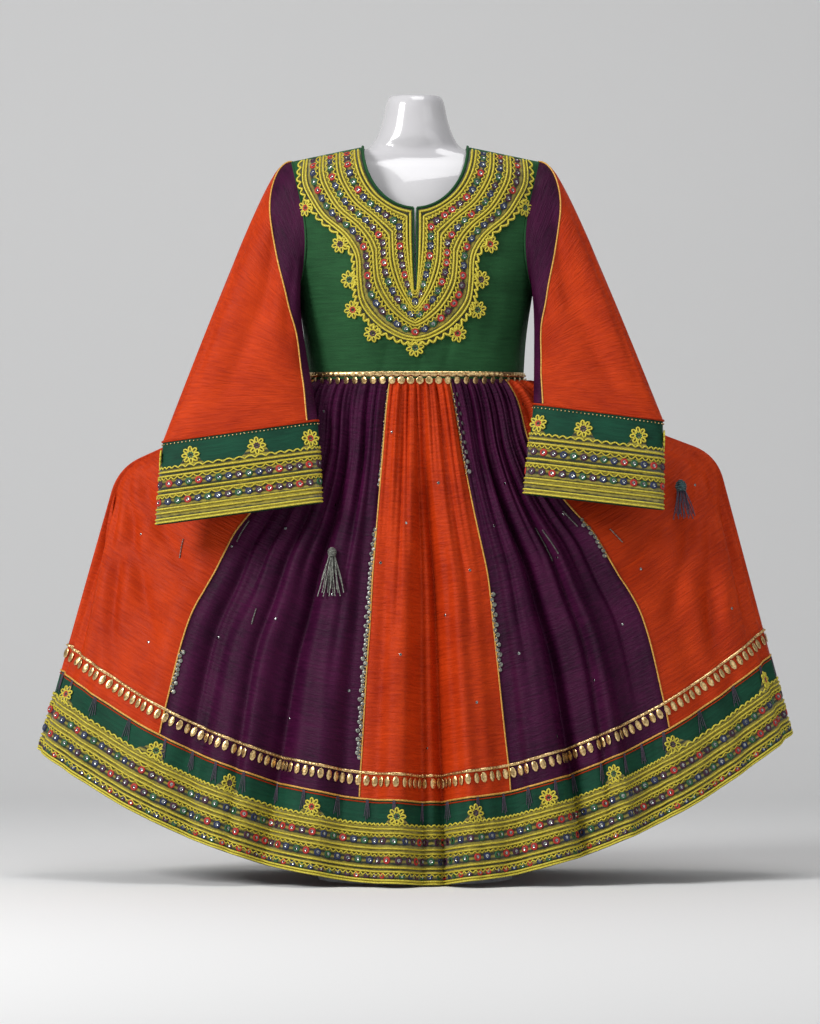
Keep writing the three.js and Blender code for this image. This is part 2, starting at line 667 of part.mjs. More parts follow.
const PANELS = [
  { name: "skirt_side_front_left", first: 0, last: 9, material: "orange" },
  { name: "skirt_front_left", first: 9, last: 24, material: "purple" },
  { name: "skirt_front_centre", first: 24, last: 36, material: "orange" },
  { name: "skirt_front_right", first: 36, last: 51, material: "purple" },
  { name: "skirt_side_front_right", first: 51, last: 60, material: "orange" },
  { name: "skirt_side_back_right", first: 60, last: 69, material: "orange" },
  { name: "skirt_back_right", first: 69, last: 84, material: "purple" },
  { name: "skirt_back_centre", first: 84, last: 96, material: "orange" },
  { name: "skirt_back_left", first: 96, last: 111, material: "purple" },
  { name: "skirt_side_back_left", first: 111, last: 120, material: "orange" },
];
for (const { name, first, last, material } of PANELS) addPiece(name, skirtPanel(first, last), material);

/** Ends of a strip that covers half the skirt, with the seam gap left at both side folds. */
function halfSkirtColumns(first, level) {
  return [...Array(HALF_COLUMNS + 1).keys()].map((i) => {
    const inset = i === 0 ? 1 : i === HALF_COLUMNS ? -1 : 0;
    return { index: first + i, at: first + i + inset * columnsFor(HALF_GAP, first + i, level) };
  });
}

/** One half of the hem band: its plain top and its raised embroidered strip, over a plain inside. */
function hemBand(first) {
  const top = BAND_LEVEL + HALF_GAP / SKIRT_LENGTH;
  const outer = [];
  const inner = [];
  for (const { index, at } of halfSkirtColumns(first, 1)) {
    const ends = [top, 1].map((level) => ({ point: skirtPoint(at, level), normal: skirtNormal(at, level) }));
    const on = (share, out) => {
      const point = ends[0].point.clone().lerp(ends[1].point, share);
      const normal = ends[0].normal.clone().lerp(ends[1].normal, share).normalize();
      return moved(point, normal, out);
    };
    const isTab = index % COLUMNS_PER_FOLD === COLUMNS_PER_FOLD / 2;
    const edge = BAND_ROWS.plainEdge - (isTab ? BAND_ROWS.tabRise : 0);
    const raised = WALL / 2 + EMBROIDERY_RAISE;
    outer.push([
      on(0, WALL / 2),
      on(edge, WALL / 2),
      on(edge + BAND_ROWS.step, raised),
      on(BAND_ROWS.middle, raised),
      on(1, raised),
    ]);
    inner.push([on(0, -WALL / 2), on(1, -WALL / 2)]);
  }
  return wallGeometry(outer, inner, false);
}
addPiece("hem_band_front", hemBand(0), "green");
addPiece("hem_band_back", hemBand(HALF_COLUMNS), "green");

/** One half of the braid that runs round the skirt above the hem band, laid on the panels' lowest facets. */
function skirtBraid(first) {
  const [above, below] = SKIRT_ROWS.slice(-2);
  const outer = [];
  const inner = [];
  for (const { at } of halfSkirtColumns(first, below)) {
    const ends = [above, below].map((level) => ({ point: skirtPoint(at, level), normal: skirtNormal(at, level) }));
    const on = (level, out) => {
      const share = (level - above) / (below - above);
      const point = ends[0].point.clone().lerp(ends[1].point, share);
      const normal = ends[0].normal.clone().lerp(ends[1].normal, share).normalize();
      return moved(point, normal, out);
    };
    const near = WALL / 2 + BRAID_CLEARANCE;
    outer.push(BRAID_LEVELS.map((level) => on(level, near + BRAID_THICKNESS)));
    inner.push(BRAID_LEVELS.map((level) => on(level, near)));
  }
  return wallGeometry(outer, inner, false);
}
addPiece("skirt_braid_front", skirtBraid(0), "trim");
addPiece("skirt_braid_back", skirtBraid(HALF_COLUMNS), "trim");

/** The armhole's edge at an angle: 0 is the shoulder tip, 90 the front and 180 the armpit. */
function armholeEdge(sign, angle) {
  const turn = degToRad(angle);
  const face = Math.sin(turn) >= 0 ? -1 : 1;
  const z = lerp(ARMPIT_Z, SHOULDER_TIP_Z, (1 + Math.cos(turn)) / 2);
  const x = sign * edgeHalfWidth(z);
  const point = bodyPoint(x, z, face);
  const normal = bodyNormal(x, z, face);
  if (Math.abs(Math.sin(turn)) < 1e-6) {
    point.setY(0);
    normal.setY(0).normalize();
  }
  return { point, normal };
}

/** A point on a cuff's upper (share 0) to lower (share 1) opening, at the same angles as the armhole. */
function cuffPoint(sleeve, angle, share) {
  const turn = degToRad(angle);
  const { top, bottom } = sleeve;
  const corner = (key) => lerp(top[key], bottom[key], share);
  const toOuter = (1 + Math.cos(turn)) / 2;
  const deep = Math.sign(Math.sin(turn)) * Math.abs(Math.sin(turn)) ** CUFF_POWER;
  return new THREE.Vector3(
    sleeve.sign * lerp(corner("innerX"), corner("outerX"), toOuter),
    -sleeve.forward - CUFF_LEAN * share - CUFF_HALF_DEPTH * deep,
    lerp(corner("innerZ"), corner("outerZ"), toOuter),
  );
}

/** The outward normal of a cuff. At its seam with the sleeve it lies in the plane of the seam. */
function cuffNormal(sleeve, angle, share) {
  const surface = (a, b) => cuffPoint(sleeve, a, b);
  const normal = normalOf(surface, angle, share, OPEN_RANGE, LEVEL_RANGE, 0.02);
  const middle = cuffPoint(sleeve, 0, share).add(cuffPoint(sleeve, 180, share)).multiplyScalar(0.5);
  if (normal.dot(cuffPoint(sleeve, angle, share).sub(middle)) < 0) normal.negate();
  if (share < 0.01) {
    const { outerX, outerZ, innerX, innerZ } = sleeve.top;
    const plane = new THREE.Vector3((sleeve.sign * (innerZ - outerZ)) / (outerX - innerX), 0, 1).normalize();
    normal.projectOnPlane(plane).normalize();
  }
  return normal;
}

/** Moves a sleeve's point sideways until it is clear of the bodice's side. */
function clearOfBody(point, sign, amount) {
  const depth = readTable(BODY, point.y < 0 ? "front" : "back", point.z);
  const across = Math.min(Math.abs(point.y) / depth, 1) ** BODY_POWER;
  const side = readTable(BODY, "halfWidth", point.z) * (1 - across) ** (1 / BODY_POWER);
  const over = Math.abs(point.x) - side - WALL - BODY_CLEARANCE;
  const push = (Math.hypot(over, BODY_BLEND) - over) / 2;
  point.x += sign * amount * push;
}

/** A point of a sleeve's inner skin between the armhole (share 0) and the cuff (share 1). */
function sleevePoint(sleeve, angle, share) {
  const turn = degToRad(angle);
  const { point: edge, normal } = armholeEdge(sleeve.sign, angle);
  const under = smoothstep(0.5 - 0.5 * Math.cos(turn), 0.3, 0.8);
  const start = moved(edge, normal, under * (2 * WALL + ARMHOLE_GAP));
  start.x += sleeve.sign * (ARMHOLE_GAP + WALL * (1 - under));
  const end = cuffPoint(sleeve, angle, 0);
  const reach = share ** SLEEVE_REACH_POWER;
  const outward = SLEEVE_BULGE * 4 * reach * (1 - reach) * (0.5 + 0.5 * Math.cos(turn));
  const off = ((((angle - SLEEVE_FOLD.angle) % 360) + 540) % 360) - 180;
  const fold = SLEEVE_FOLD.depth * Math.exp(-((off / SLEEVE_FOLD.width) ** 2)) * Math.sin(Math.PI * share);
  const point = start.lerp(end, share);
  point.x += sleeve.sign * outward;
  point.y += fold;
  clearOfBody(point, sleeve.sign, smoothstep(share, 0, 0.05) * (1 - smoothstep(share, 0.7, 1)));
  return point;
}

/** The outward normal of a sleeve. Its last row takes the cuff's, so that the two walls meet flush. */
function sleeveNormal(sleeve, angle, share, isLast) {
  if (isLast) return cuffNormal(sleeve, angle, 0);
  const surface = (a, b) => sleevePoint(sleeve, a, b);
  const normal = normalOf(surface, angle, share, OPEN_RANGE, LEVEL_RANGE, 0.02);
  const middle = sleevePoint(sleeve, 0, share).add(sleevePoint(sleeve, 180, share)).multiplyScalar(0.5);
  return normal.dot(sleevePoint(sleeve, angle, share).sub(middle)) < 0 ? normal.negate() : normal;
}

/** One long panel of a sleeve: the outer one lies about angle 0 and the inner one about 180. */
function sleevePanel(sleeve, isOuter) {
  const outer = [];
  const inner = [];
  for (let i = 0; i <= SLEEVE_PANEL_COLUMNS; i += 1) {
    const column = SLEEVE_ROWS.map((row) => {
      const share = row === 1 ? 1 - HALF_GAP / SLEEVE_LENGTH : row;
      const seam = readTable(SLEEVE_SEAM, "angle", row);
      const half = isOuter ? seam : 180 - seam;
      const radius = lerp(...SLEEVE_RADII, row);
      const inset = THREE.MathUtils.radToDeg((HALF_GAP + SLEEVE_SEAM_MARGIN) / radius);
      const middle = isOuter ? 0 : 180;
      const angle = middle + (half - inset) * lerp(-1, 1, i / SLEEVE_PANEL_COLUMNS);
      return { point: sleevePoint(sleeve, angle, share), normal: sleeveNormal(sleeve, angle, share, row === 1) };
    });
    outer.push(column.map(({ point, normal }) => moved(point, normal, WALL)));
    inner.push(column.map(({ point }) => point));
  }
  return wallGeometry(outer, inner, false);
}

/** A cuff: a green band with a raised embroidered strip whose upper edge has tabs. */
function cuff(sleeve) {
  const outer = [];
  const inner = [];
  for (let i = 0; i < CUFF_COLUMNS; i += 1) {
    const angle = (360 * i) / CUFF_COLUMNS;
    const on = (share, out) => moved(cuffPoint(sleeve, angle, share), cuffNormal(sleeve, angle, share), out);
    const edge = CUFF_ROWS.plainEdge - (i % CUFF_TAB_EVERY === 0 ? CUFF_ROWS.tabRise : 0);
    const raised = WALL + EMBROIDERY_RAISE;
    const start = HALF_GAP / CUFF_LENGTH;
    outer.push([
      on(start, WALL),
      on(edge, WALL),
      on(edge + CUFF_ROWS.step, raised),
      on(CUFF_ROWS.middle, raised),
      on(1, raised),
    ]);
    inner.push([on(start, 0), on(1, 0)]);
  }
  return wallGeometry(outer, inner, true);
}

for (const [side, sleeve] of Object.entries(SLEEVES)) {
  addPiece(`sleeve_outer_${side}`, sleevePanel(sleeve, true), "orange");
  addPiece(`sleeve_inner_${side}`, sleevePanel(sleeve, false), "purple");
  addPiece(`cuff_${side}`, cuff(sleeve), "green");
}

/** A point on the flat faces between the skirt panels' own points. */
function facetPoint(column, level) {
  const left = Math.floor(column);
  const below = Math.max(1, SKIRT_ROWS.findIndex((row) => row >= level));
  const [high, low] = [SKIRT_ROWS[below - 1], SKIRT_ROWS[below]];
  const onRow = (row) => skirtPoint(left, row).lerp(skirtPoint(left + 1, row), column - left);
  return onRow(high).lerp(onRow(low), (level - high) / (low - high));
}

/** A tassel: a rounded head with strands fused into its underside, lying along the skirt. */
function tassel({ column, level, off, length, spread, headRadius }) {
  const outward = outwardOf(skirtBase, column, level);
  const upward = new THREE.Vector3(0, 0, 1).projectOnPlane(outward).normalize();
  const sideways = new THREE.Vector3().crossVectors(upward, outward);
  const profile = HEAD_PROFILE.map((point) => new THREE.Vector2(...point).multiplyScalar(headRadius));
  let solid = solidOf(new THREE.LatheGeometry(profile, 10).rotateX(Math.PI / 2));
  for (let i = 0; i < TASSEL_STRANDS; i += 1) {
    const share = i / (TASSEL_STRANDS - 1) - 0.5;
    const strand = new THREE.CylinderGeometry(STRAND_RADIUS, STRAND_RADIUS, length, 3, 1);
    strand.rotateX(Math.PI / 2).translate(0, 0, -length / 2);
    strand.applyMatrix4(new THREE.Matrix4().makeRotationY(Math.atan2(-2 * spread * share, length)));
    const row = i % 2 === 0 ? 1 : -1;
    strand.translate(share * STRAND_FAN * headRadius, row * STRAND_SETBACK, -STRAND_START * headRadius);
    solid = solid.add(solidOf(strand));
  }
  const geometry = geometryOf(solid);
  geometry.applyMatrix4(new THREE.Matrix4().makeBasis(sideways, outward.clone().negate(), upward));
  const place = moved(facetPoint(column, level), outward, off);
  geometry.translate(place.x, place.y, place.z);
  return geometry;
}
for (const row of TASSELS) addPiece(row.name, tassel(row), "silver");

/** The dress form: a torso with a neck and no limbs, closed at both ends. */
function dressForm() {
  const points = [];
  const triangles = [];
  const ring = (section) =>
    [...Array(FORM_COLUMNS).keys()].map((i) => {
      const turn = (2 * Math.PI * i) / FORM_COLUMNS;
      const point = [section.halfWidth * Math.cos(turn), section.halfDepth * Math.sin(turn), section.z];
      return points.push(new THREE.Vector3(...point)) - 1;
    });
  const rings = FORM_SECTIONS.map(ring);
  rings.slice(0, -1).forEach((low, k) => {
    const high = rings[k + 1];
    low.forEach((a, i) => {
      const next = (i + 1) % FORM_COLUMNS;
      triangles.push([a, low[next], high[next]], [a, high[next], high[i]]);
    });
  });
  const cap = (loop, turned) => {
    for (let i = 1; i + 1 < loop.length; i += 1)
      triangles.push(turned ? [loop[0], loop[i], loop[i + 1]] : [loop[0], loop[i + 1], loop[i]]);
  };
  cap(rings[0], false);
  cap(rings.at(-1), true);
  return closedGeometry(points, triangles);
}
addPiece("dress_form", dressForm(), "form");

/** A round plate with a chamfered upper edge, standing on the floor. */
function standBase() {
  const profile = [
    new THREE.Vector2(0, 0),
    new THREE.Vector2(BASE.radius, 0),
    new THREE.Vector2(BASE.radius, BASE.thickness - BASE.chamfer),
    new THREE.Vector2(BASE.radius - BASE.chamfer, BASE.thickness),
    new THREE.Vector2(0, BASE.thickness),
  ];
  return new THREE.LatheGeometry(profile, BASE.segments).rotateX(Math.PI / 2);
}
addPiece("stand_base", standBase(), "steel");

/** The post between the base and the dress form. */
function standPost() {
  const length = FORM_SECTIONS[0].z - BASE.thickness - 2 * SEAM_GAP;
  const post = new THREE.CylinderGeometry(POST.radius, POST.radius, length, POST.segments);
  return post.rotateX(Math.PI / 2).translate(0, 0, BASE.thickness + SEAM_GAP + length / 2);
}
addPiece("stand_post", standPost(), "steel");

export default dress;
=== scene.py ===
"""A kuchi dress on a limbless dress form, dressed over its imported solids.

All sizes in this file are millimetres, and meshes are written in metres. +Z is up and the front faces -Y.
Left and right are the viewer's. The surface formulas are those of the solids, with finer folds added.
"""

import logging
import math
from collections.abc import Callable, Sequence
from dataclasses import dataclass
from enum import Enum

import bmesh
import bpy
import numpy as np
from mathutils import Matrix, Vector


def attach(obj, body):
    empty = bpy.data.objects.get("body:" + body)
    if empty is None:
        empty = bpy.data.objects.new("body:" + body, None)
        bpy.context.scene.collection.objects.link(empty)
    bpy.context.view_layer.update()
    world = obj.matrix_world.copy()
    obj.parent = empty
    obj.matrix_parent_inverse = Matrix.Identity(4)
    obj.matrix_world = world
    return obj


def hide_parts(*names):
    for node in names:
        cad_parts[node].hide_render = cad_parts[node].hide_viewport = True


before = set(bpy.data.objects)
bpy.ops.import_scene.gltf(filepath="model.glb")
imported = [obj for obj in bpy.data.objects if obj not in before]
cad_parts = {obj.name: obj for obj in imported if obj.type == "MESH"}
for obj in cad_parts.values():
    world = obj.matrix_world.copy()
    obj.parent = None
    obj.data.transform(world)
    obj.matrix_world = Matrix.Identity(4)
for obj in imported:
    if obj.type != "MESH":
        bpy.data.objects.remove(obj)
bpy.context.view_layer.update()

logging.basicConfig(level=logging.INFO, format="%(message)s")
LOG = logging.getLogger("dress")

MM = 0.001
BODY_NAME = "root"
UV_NAME = "cloth"
Array = np.ndarray

# Cloth and seams
WALL = 1.5
HALF_GAP = 0.15

# Bodice
WAIST_Z = 771.0
ARMPIT_Z = 912.0
SHOULDER_TIP_Z = 1109.0
NECK_POINT_Z = 1131.0
NECK_HALF_WIDTH = 81.0
SHOULDER_HALF_WIDTH = 189.0
FRONT_NECK_DROP = 99.0
BACK_NECK_DROP = 20.0
SHOULDER_ROUNDING = 45.0
BODY_POWER = 2.4
SLIT_BOTTOM = 911.0
SLIT_HALF_WIDTH = 1.5

# Skirt
HEM_Z = 4.0
SKIRT_COLUMNS = 120
HALF_COLUMNS = 60
BAND_LEVEL = 0.835
SKIRT_LENGTH = 777.0
WAIST_DEPTH = 105.75
HEM_DEPTH = 212.0
LIFT_LEVEL = 0.42
LIFT_ROUNDING = 0.05
GATHER_DEPTH = 3.0

# Sleeves
CUFF_HALF_DEPTH = 27.0
CUFF_POWER = 0.8
CUFF_LEAN = 34.0
ARMHOLE_GAP = 0.3
BODY_CLEARANCE = 4.0
BODY_BLEND = 8.0
SLEEVE_BULGE = 20.0


def clamp(value: Array | float, low: float, high: float) -> Array:
    """Value held between low and high."""
    return np.clip(value, low, high)


def lerp(start: Array | float, end: Array | float, share: Array | float) -> Array:
    """The value a share of the way from start to end."""
    return start + (end - start) * share


def smoothstep(value: Array | float, low: float, high: float) -> Array:
    """A soft step from 0 at low to 1 at high."""
    share = clamp((np.asarray(value, float) - low) / (high - low), 0, 1)
    return share * share * (3 - 2 * share)


def unit(vectors: Array) -> Array:
    """Rows scaled to length 1."""
    return vectors / np.maximum(np.linalg.norm(vectors, axis=-1, keepdims=True), 1e-9)


class Table:
    """A smooth curve through rows of (level, value), ordered by level."""

    def __init__(self, rows: Sequence[tuple[float, float]]) -> None:
        """Stores the rows and the slope at each.

        Args:
            rows: pairs of level and value.
        """
        self.levels, self.values = np.array(rows, float).T
        count = len(rows)
        before = np.maximum(np.arange(count) - 1, 0)
        after = np.minimum(np.arange(count) + 1, count - 1)
        self.slopes = (self.values[after] - self.values[before]) / (self.levels[after] - self.levels[before])

    def __call__(self, level: Array | float) -> Array:
        """The curve's value at each level, held at its ends."""
        at = clamp(level, self.levels[0], self.levels[-1])
        i = clamp(np.searchsorted(self.levels, at, side="left") - 1, 0, len(self.levels) - 2)
        span = self.levels[i + 1] - self.levels[i]
        t = (at - self.levels[i]) / span
        rise = t * (1 - t) * (1 - t) * self.slopes[i] - t * t * (1 - t) * self.slopes[i + 1]
        return lerp(self.values[i], self.values[i + 1], t * t * (3 - 2 * t)) + span * rise


BODY_WIDTH = Table([(771, 166), (840, 171), (912, 182), (950, 190), (990, 194), (1050, 196), (1109, 196)])
BODY_FRONT = Table([(771, 105), (840, 112), (912, 118), (950, 117), (990, 112), (1050, 100), (1109, 88)])
BODY_BACK = Table([(771, 105), (840, 106), (912, 107), (950, 107), (990, 106), (1050, 98), (1109, 88)])

# Angles round the skirt of each panel seam, by level. 0 faces front and 90 is the right fold.
SEAM_COLUMNS = np.array([0, 9, 24, 36, 51, 60], float)
SEAM_LEVELS = (0, 0.17, 0.42, 0.6, 0.8)
SEAM_ANGLES = (
    (-90, -90, -90, -90, -90),
    (-67, -42, -38.7, -43.8, -45.2),
    (-12.9, -10, -8.3, -8.6, -8.9),
    (18.7, 15.3, 14.1, 14.6, 15.3),
    (55, 37.4, 37.2, 43, 44.4),
    (90, 90, 90, 90, 90),
)
SEAM_CURVES = [Table(list(zip(SEAM_LEVELS, angles))) for angles in SEAM_ANGLES]
SIDE_SHARPNESS = Table([(0, 1), (0.2, 1.45), (0.42, 1.7), (0.6, 1.4), (1, 1.12)])
FOLD_DEPTHS = (0, 4, 9, 13, 10, 16, 11, 13, 9, 4, 0, 4, 8, 12, 11, 16, 10, 12, 8, 4, 0)
FOLD_CURVE = Table([(6 * i, depth) for i, depth in enumerate(FOLD_DEPTHS)])
SLEEVE_SEAM = Table([(0, 9), (0.1, 34), (0.2, 70), (0.3, 102), (0.45, 132), (0.7, 145), (1, 150)])

YOKE_EDGE_ROWS = (
    (0, 176, 1106),
    (0.1, 176, 1072),
    (0.19, 164, 1044),
    (0.28, 146, 1016),
    (0.38, 112, 985),
    (0.46, 95, 955),
    (0.58, 93, 915),
    (0.7, 86, 878),
    (0.83, 58, 846),
    (0.93, 24, 828),
    (1, 0, 824),
)
YOKE_EDGE_X = Table([(share, x) for share, x, _ in YOKE_EDGE_ROWS])
YOKE_EDGE_Z = Table([(share, z) for share, _, z in YOKE_EDGE_ROWS])
YOKE_NECK_SHARE = 15 / 28
YOKE_TAB_SHARES = (6 / 28, 11 / 28, 15 / 28, 19 / 28, 23 / 28)

FORM_ROWS = (
    (560, 140, 88),
    (572, 154, 99),
    (620, 157, 101),
    (700, 147, 93),
    (771, 136, 84),
    (840, 146, 93),
    (912, 157, 101),
    (990, 159, 96),
    (1045, 159, 82),
    (1078, 159, 70),
    (1098, 156, 60),
    (1109.5, 148, 52),
    (1119, 124, 49),
    (1126, 90, 47),
    (1129.5, 74, 47),
    (1145, 61, 50),
    (1172, 51, 47),
    (1203, 44, 43),
    (1210, 39, 38),
)


@dataclass(frozen=True)
class Crease:
    """A soft trough (negative depth) or ridge between two points of a cloth surface."""

    start: tuple[float, float]
    end: tuple[float, float]
    width: float
    depth: float
    bow: float = 0.0

    def height(self, a: Array, b: Array) -> Array:
        """How far the crease moves the cloth outwards at each pair of parameters."""
        share = (b - self.start[1]) / (self.end[1] - self.start[1])
        inside = smoothstep(share, 0, 0.25) * (1 - smoothstep(share, 0.65, 1))
        line = lerp(self.start[0], self.end[0], share) + self.bow * np.sin(math.pi * clamp(share, 0, 1))
        return self.depth * inside * np.exp(-(((a - line) / self.width) ** 2))


# Creases of the skirt's left front, in columns and levels. The other quarters repeat them, turned and eased.
SKIRT_CREASES = (
    Crease((0.5, 0.42), (3.4, 0.9), 0.6, -11.0, 0.3),
    Crease((1.2, 0.40), (6.2, 0.84), 0.65, -10.0, 0.5),
    Crease((1.4, 0.38), (8.4, 0.72), 0.6, -8.0, 0.4),
    Crease((1.8, 0.36), (9.6, 0.56), 0.7, -6.0),
    Crease((2.6, 0.44), (4.9, 0.8), 0.5, 6.0, 0.2),
    Crease((0.9, 0.43), (1.7, 0.9), 0.4, -6.0),
    Crease((10.5, 0.04), (11.4, 1.0), 0.45, -10.0, 0.3),
    Crease((13.4, 0.02), (13.2, 0.6), 0.35, -7.0, -0.3),
    Crease((15.2, 0.05), (15.9, 1.2), 0.55, -16.0, -0.4),
    Crease((16.9, 0.02), (17.0, 0.5), 0.3, -5.0),
    Crease((18.4, 0.02), (17.8, 1.2), 0.6, -22.0, 0.3),
    Crease((20.7, 0.02), (21.4, 0.75), 0.4, -9.0, 0.2),
    Crease((22.6, 0.1), (22.9, 1.1), 0.45, -7.0),
    Crease((26.8, 0.02), (26.3, 0.6), 0.35, -6.0, 0.2),
    Crease((28.2, 0.25), (27.7, 1.1), 0.45, -7.0, 0.2),
    Crease((30.2, 0.02), (30.7, 1.3), 0.62, -24.0, 0.15),
)

SLEEVE_CREASES = (
    Crease((52, 0.04), (86, 0.62), 9, -3.6, 8),
    Crease((24, 0.10), (38, 0.97), 7, -3.0, -6),
    Crease((74, 0.3), (62, 0.99), 8, -3.2, 5),
    Crease((108, 0.05), (122, 0.6), 9, -2.8, -5),
    Crease((5, 0.3), (12, 0.99), 7, -2.6, 4),
    Crease((-40, 0.12), (-58, 0.9), 10, -3.4, 7),
    Crease((-95, 0.1), (-84, 0.75), 9, -2.8, 5),
    Crease((142, 0.1), (150, 0.8), 10, -2.6, 0),
)

BODICE_CREASES = (
    Crease((-150, 1060), (-118, 905), 9, -2.4, 10),
    Crease((-132, 930), (-98, 800), 8, -2.2, -8),
    Crease((148, 1050), (112, 890), 9, -2.2, -9),
    Crease((124, 940), (96, 790), 8, -2.6, 8),
    Crease((-40, 835), (-52, 775), 7, -1.8),
    Crease((58, 850), (44, 775), 7, -1.8),
    Crease((4, 822), (10, 775), 6, -1.5),
    Crease((150, 900), (142, 780), 8, -2.0),
    Crease((-160, 890), (-146, 780), 8, -2.0),
)


class Cloth:
    """A curved surface with two parameters, in millimetres. Subclasses give its points."""

    step_a = 0.02
    step_b = 0.02

    def point(self, a: Array, b: Array) -> Array:
        """Points of the surface, one row for each pair of parameters."""
        raise NotImplementedError

    def outward(self, a: Array, b: Array) -> Array:
        """Rough directions away from the body, which settle which way normals face."""
        raise NotImplementedError

    def limits_a(self, a: Array, b: Array) -> tuple[Array | float, Array | float]:
        """Lowest and highest first parameter that a difference may use."""
        return -1e6, 1e6

    def limits_b(self, a: Array, b: Array) -> tuple[Array | float, Array | float]:
        """Lowest and highest second parameter that a difference may use."""
        return 0.0, 1.0

    def normal(self, a: Array, b: Array) -> Array:
        """Outward unit normals, by differences that stay inside the limits."""
        low_a, high_a = self.limits_a(a, b)
        low_b, high_b = self.limits_b(a, b)
        a0, a1 = np.maximum(a - self.step_a, low_a), np.minimum(a + self.step_a, high_a)
        b0, b1 = np.maximum(b - self.step_b, low_b), np.minimum(b + self.step_b, high_b)
        along_a = self.point(a1, b) - self.point(a0, b)
        along_b = self.point(a, b1) - self.point(a, b0)
        normal = unit(np.cross(along_a, along_b))
        facing = np.sum(normal * self.outward(a, b), axis=-1, keepdims=True)
        return np.where(facing < 0, -normal, normal)

    def at(self, a: Array | float, b: Array | float, out: Array | float = 0.0) -> Array:
        """Points moved out along the normals.

        Args:
            a: first parameter.
            b: second parameter.
            out: distance along the normal.

        Returns:
            One row of x, y and z for each pair of parameters.
        """
        a, b, out = np.broadcast_arrays(np.asarray(a, float), np.asarray(b, float), np.asarray(out, float))
        return self.point(a, b) + self.normal(a, b) * out[..., None]


def stack(x: Array | float, y: Array | float, z: Array | float) -> Array:
    """Rows of x, y and z."""
    return np.stack(np.broadcast_arrays(x, y, z), axis=-1).astype(float)


def shoulder_z(x: Array | float) -> Array:
    """Height of the shoulder seam at a distance from the middle."""
    out = (np.abs(x) - NECK_HALF_WIDTH) / (SHOULDER_HALF_WIDTH - NECK_HALF_WIDTH)
    return lerp(NECK_POINT_Z, SHOULDER_TIP_Z, clamp(out, 0, 1))


def edge_half_width(z: Array | float) -> Array:
    """Half width of the bodice at its side seam, and above that at the armhole."""
    rise = clamp((np.asarray(z, float) - ARMPIT_Z) / (SHOULDER_TIP_Z - ARMPIT_Z), 0, 1)
    return BODY_WIDTH(z) * (1 - 0.13 * np.sin(math.pi * rise**0.7) - 0.0357 * rise)


class BodiceFace(Cloth):
    """The front or back of the bodice, with x and z as parameters."""

    step_a = 0.5
    step_b = 0.5

    def __init__(self, face: int, creased: bool = False) -> None:
        """Settles which face this is.

        Args:
            face: -1 for the front and 1 for the back.
            creased: whether the listed creases are in it.
        """
        self.face = face
        self.creased = creased
        self.depths = BODY_FRONT if face < 0 else BODY_BACK

    def point(self, a: Array, b: Array) -> Array:
        """Points at x = a and z = b."""
        across = np.minimum(np.abs(a) / BODY_WIDTH(b), 1) ** BODY_POWER
        over = clamp((b - shoulder_z(a) + SHOULDER_ROUNDING) / SHOULDER_ROUNDING, 0, 1)
        y = self.depths(b) * (1 - across) ** (1 / BODY_POWER) * np.sqrt(1 - over * over)
        if self.creased:
            y = y + sum(crease.height(a, b) for crease in BODICE_CREASES) * smoothstep(y, 2, 40)
        return stack(a, self.face * np.maximum(y, HALF_GAP), b)

    def outward(self, a: Array, b: Array) -> Array:
        """Away from the body, towards this face."""
        return stack(np.sign(a) * 0.05, self.face * np.ones_like(a), 0.02)

    def limits_a(self, a: Array, b: Array) -> tuple[Array, Array]:
        """Inside the body's own width."""
        return -BODY_WIDTH(b), BODY_WIDTH(b)

    def limits_b(self, a: Array, b: Array) -> tuple[float, Array]:
        """From the waist to the shoulder seam."""
        return WAIST_Z, shoulder_z(a)


class Yoke(Cloth):
    """The embroidered yoke. Its first parameter is -1 and 1 at the shoulders and 0 below the slit."""

    step_a = 0.002
    step_b = 0.01

    def __init__(self) -> None:
        """Lays the yoke on the bodice's front."""
        self.body = BodiceFace(-1)

    def outline(self, a: Array, b: Array) -> tuple[Array, Array]:
        """The x and z of points a share b of the way from the yoke's inner edge to its outer edge."""
        share = clamp(1 - np.abs(a), 0, 1)
        turn = np.radians(lerp(87, 3, clamp(share / YOKE_NECK_SHARE, 0, 1)))
        down = clamp((share - YOKE_NECK_SHARE) / (1 - YOKE_NECK_SHARE), 0, 1)
        neck_x = (NECK_HALF_WIDTH + 2) * np.sin(turn)
        neck_z = NECK_POINT_Z - 4 - (FRONT_NECK_DROP - 2) * np.cos(turn)
        inner_x = np.where(down > 0, 3.6 * (1 - smoothstep(share, 0.985, 1)), neck_x)
        inner_z = np.where(down > 0, lerp(neck_z, SLIT_BOTTOM - 4, down), neck_z)
        side = np.where(a < 0, -1.0, 1.0)
        return side * lerp(inner_x, YOKE_EDGE_X(share), b), lerp(inner_z, YOKE_EDGE_Z(share), b)

    def point(self, a: Array, b: Array) -> Array:
        """Points of the bodice's front under the yoke."""
        return self.body.point(*self.outline(a, b))

    def normal(self, a: Array, b: Array) -> Array:
        """The bodice's own normals."""
        return self.body.normal(*self.outline(a, b))


def from_side_fold(column: Array | float) -> Array:
    """The distance from the nearer side fold, in columns."""
    return np.minimum(np.mod(column, HALF_COLUMNS), HALF_COLUMNS - np.mod(column, HALF_COLUMNS))


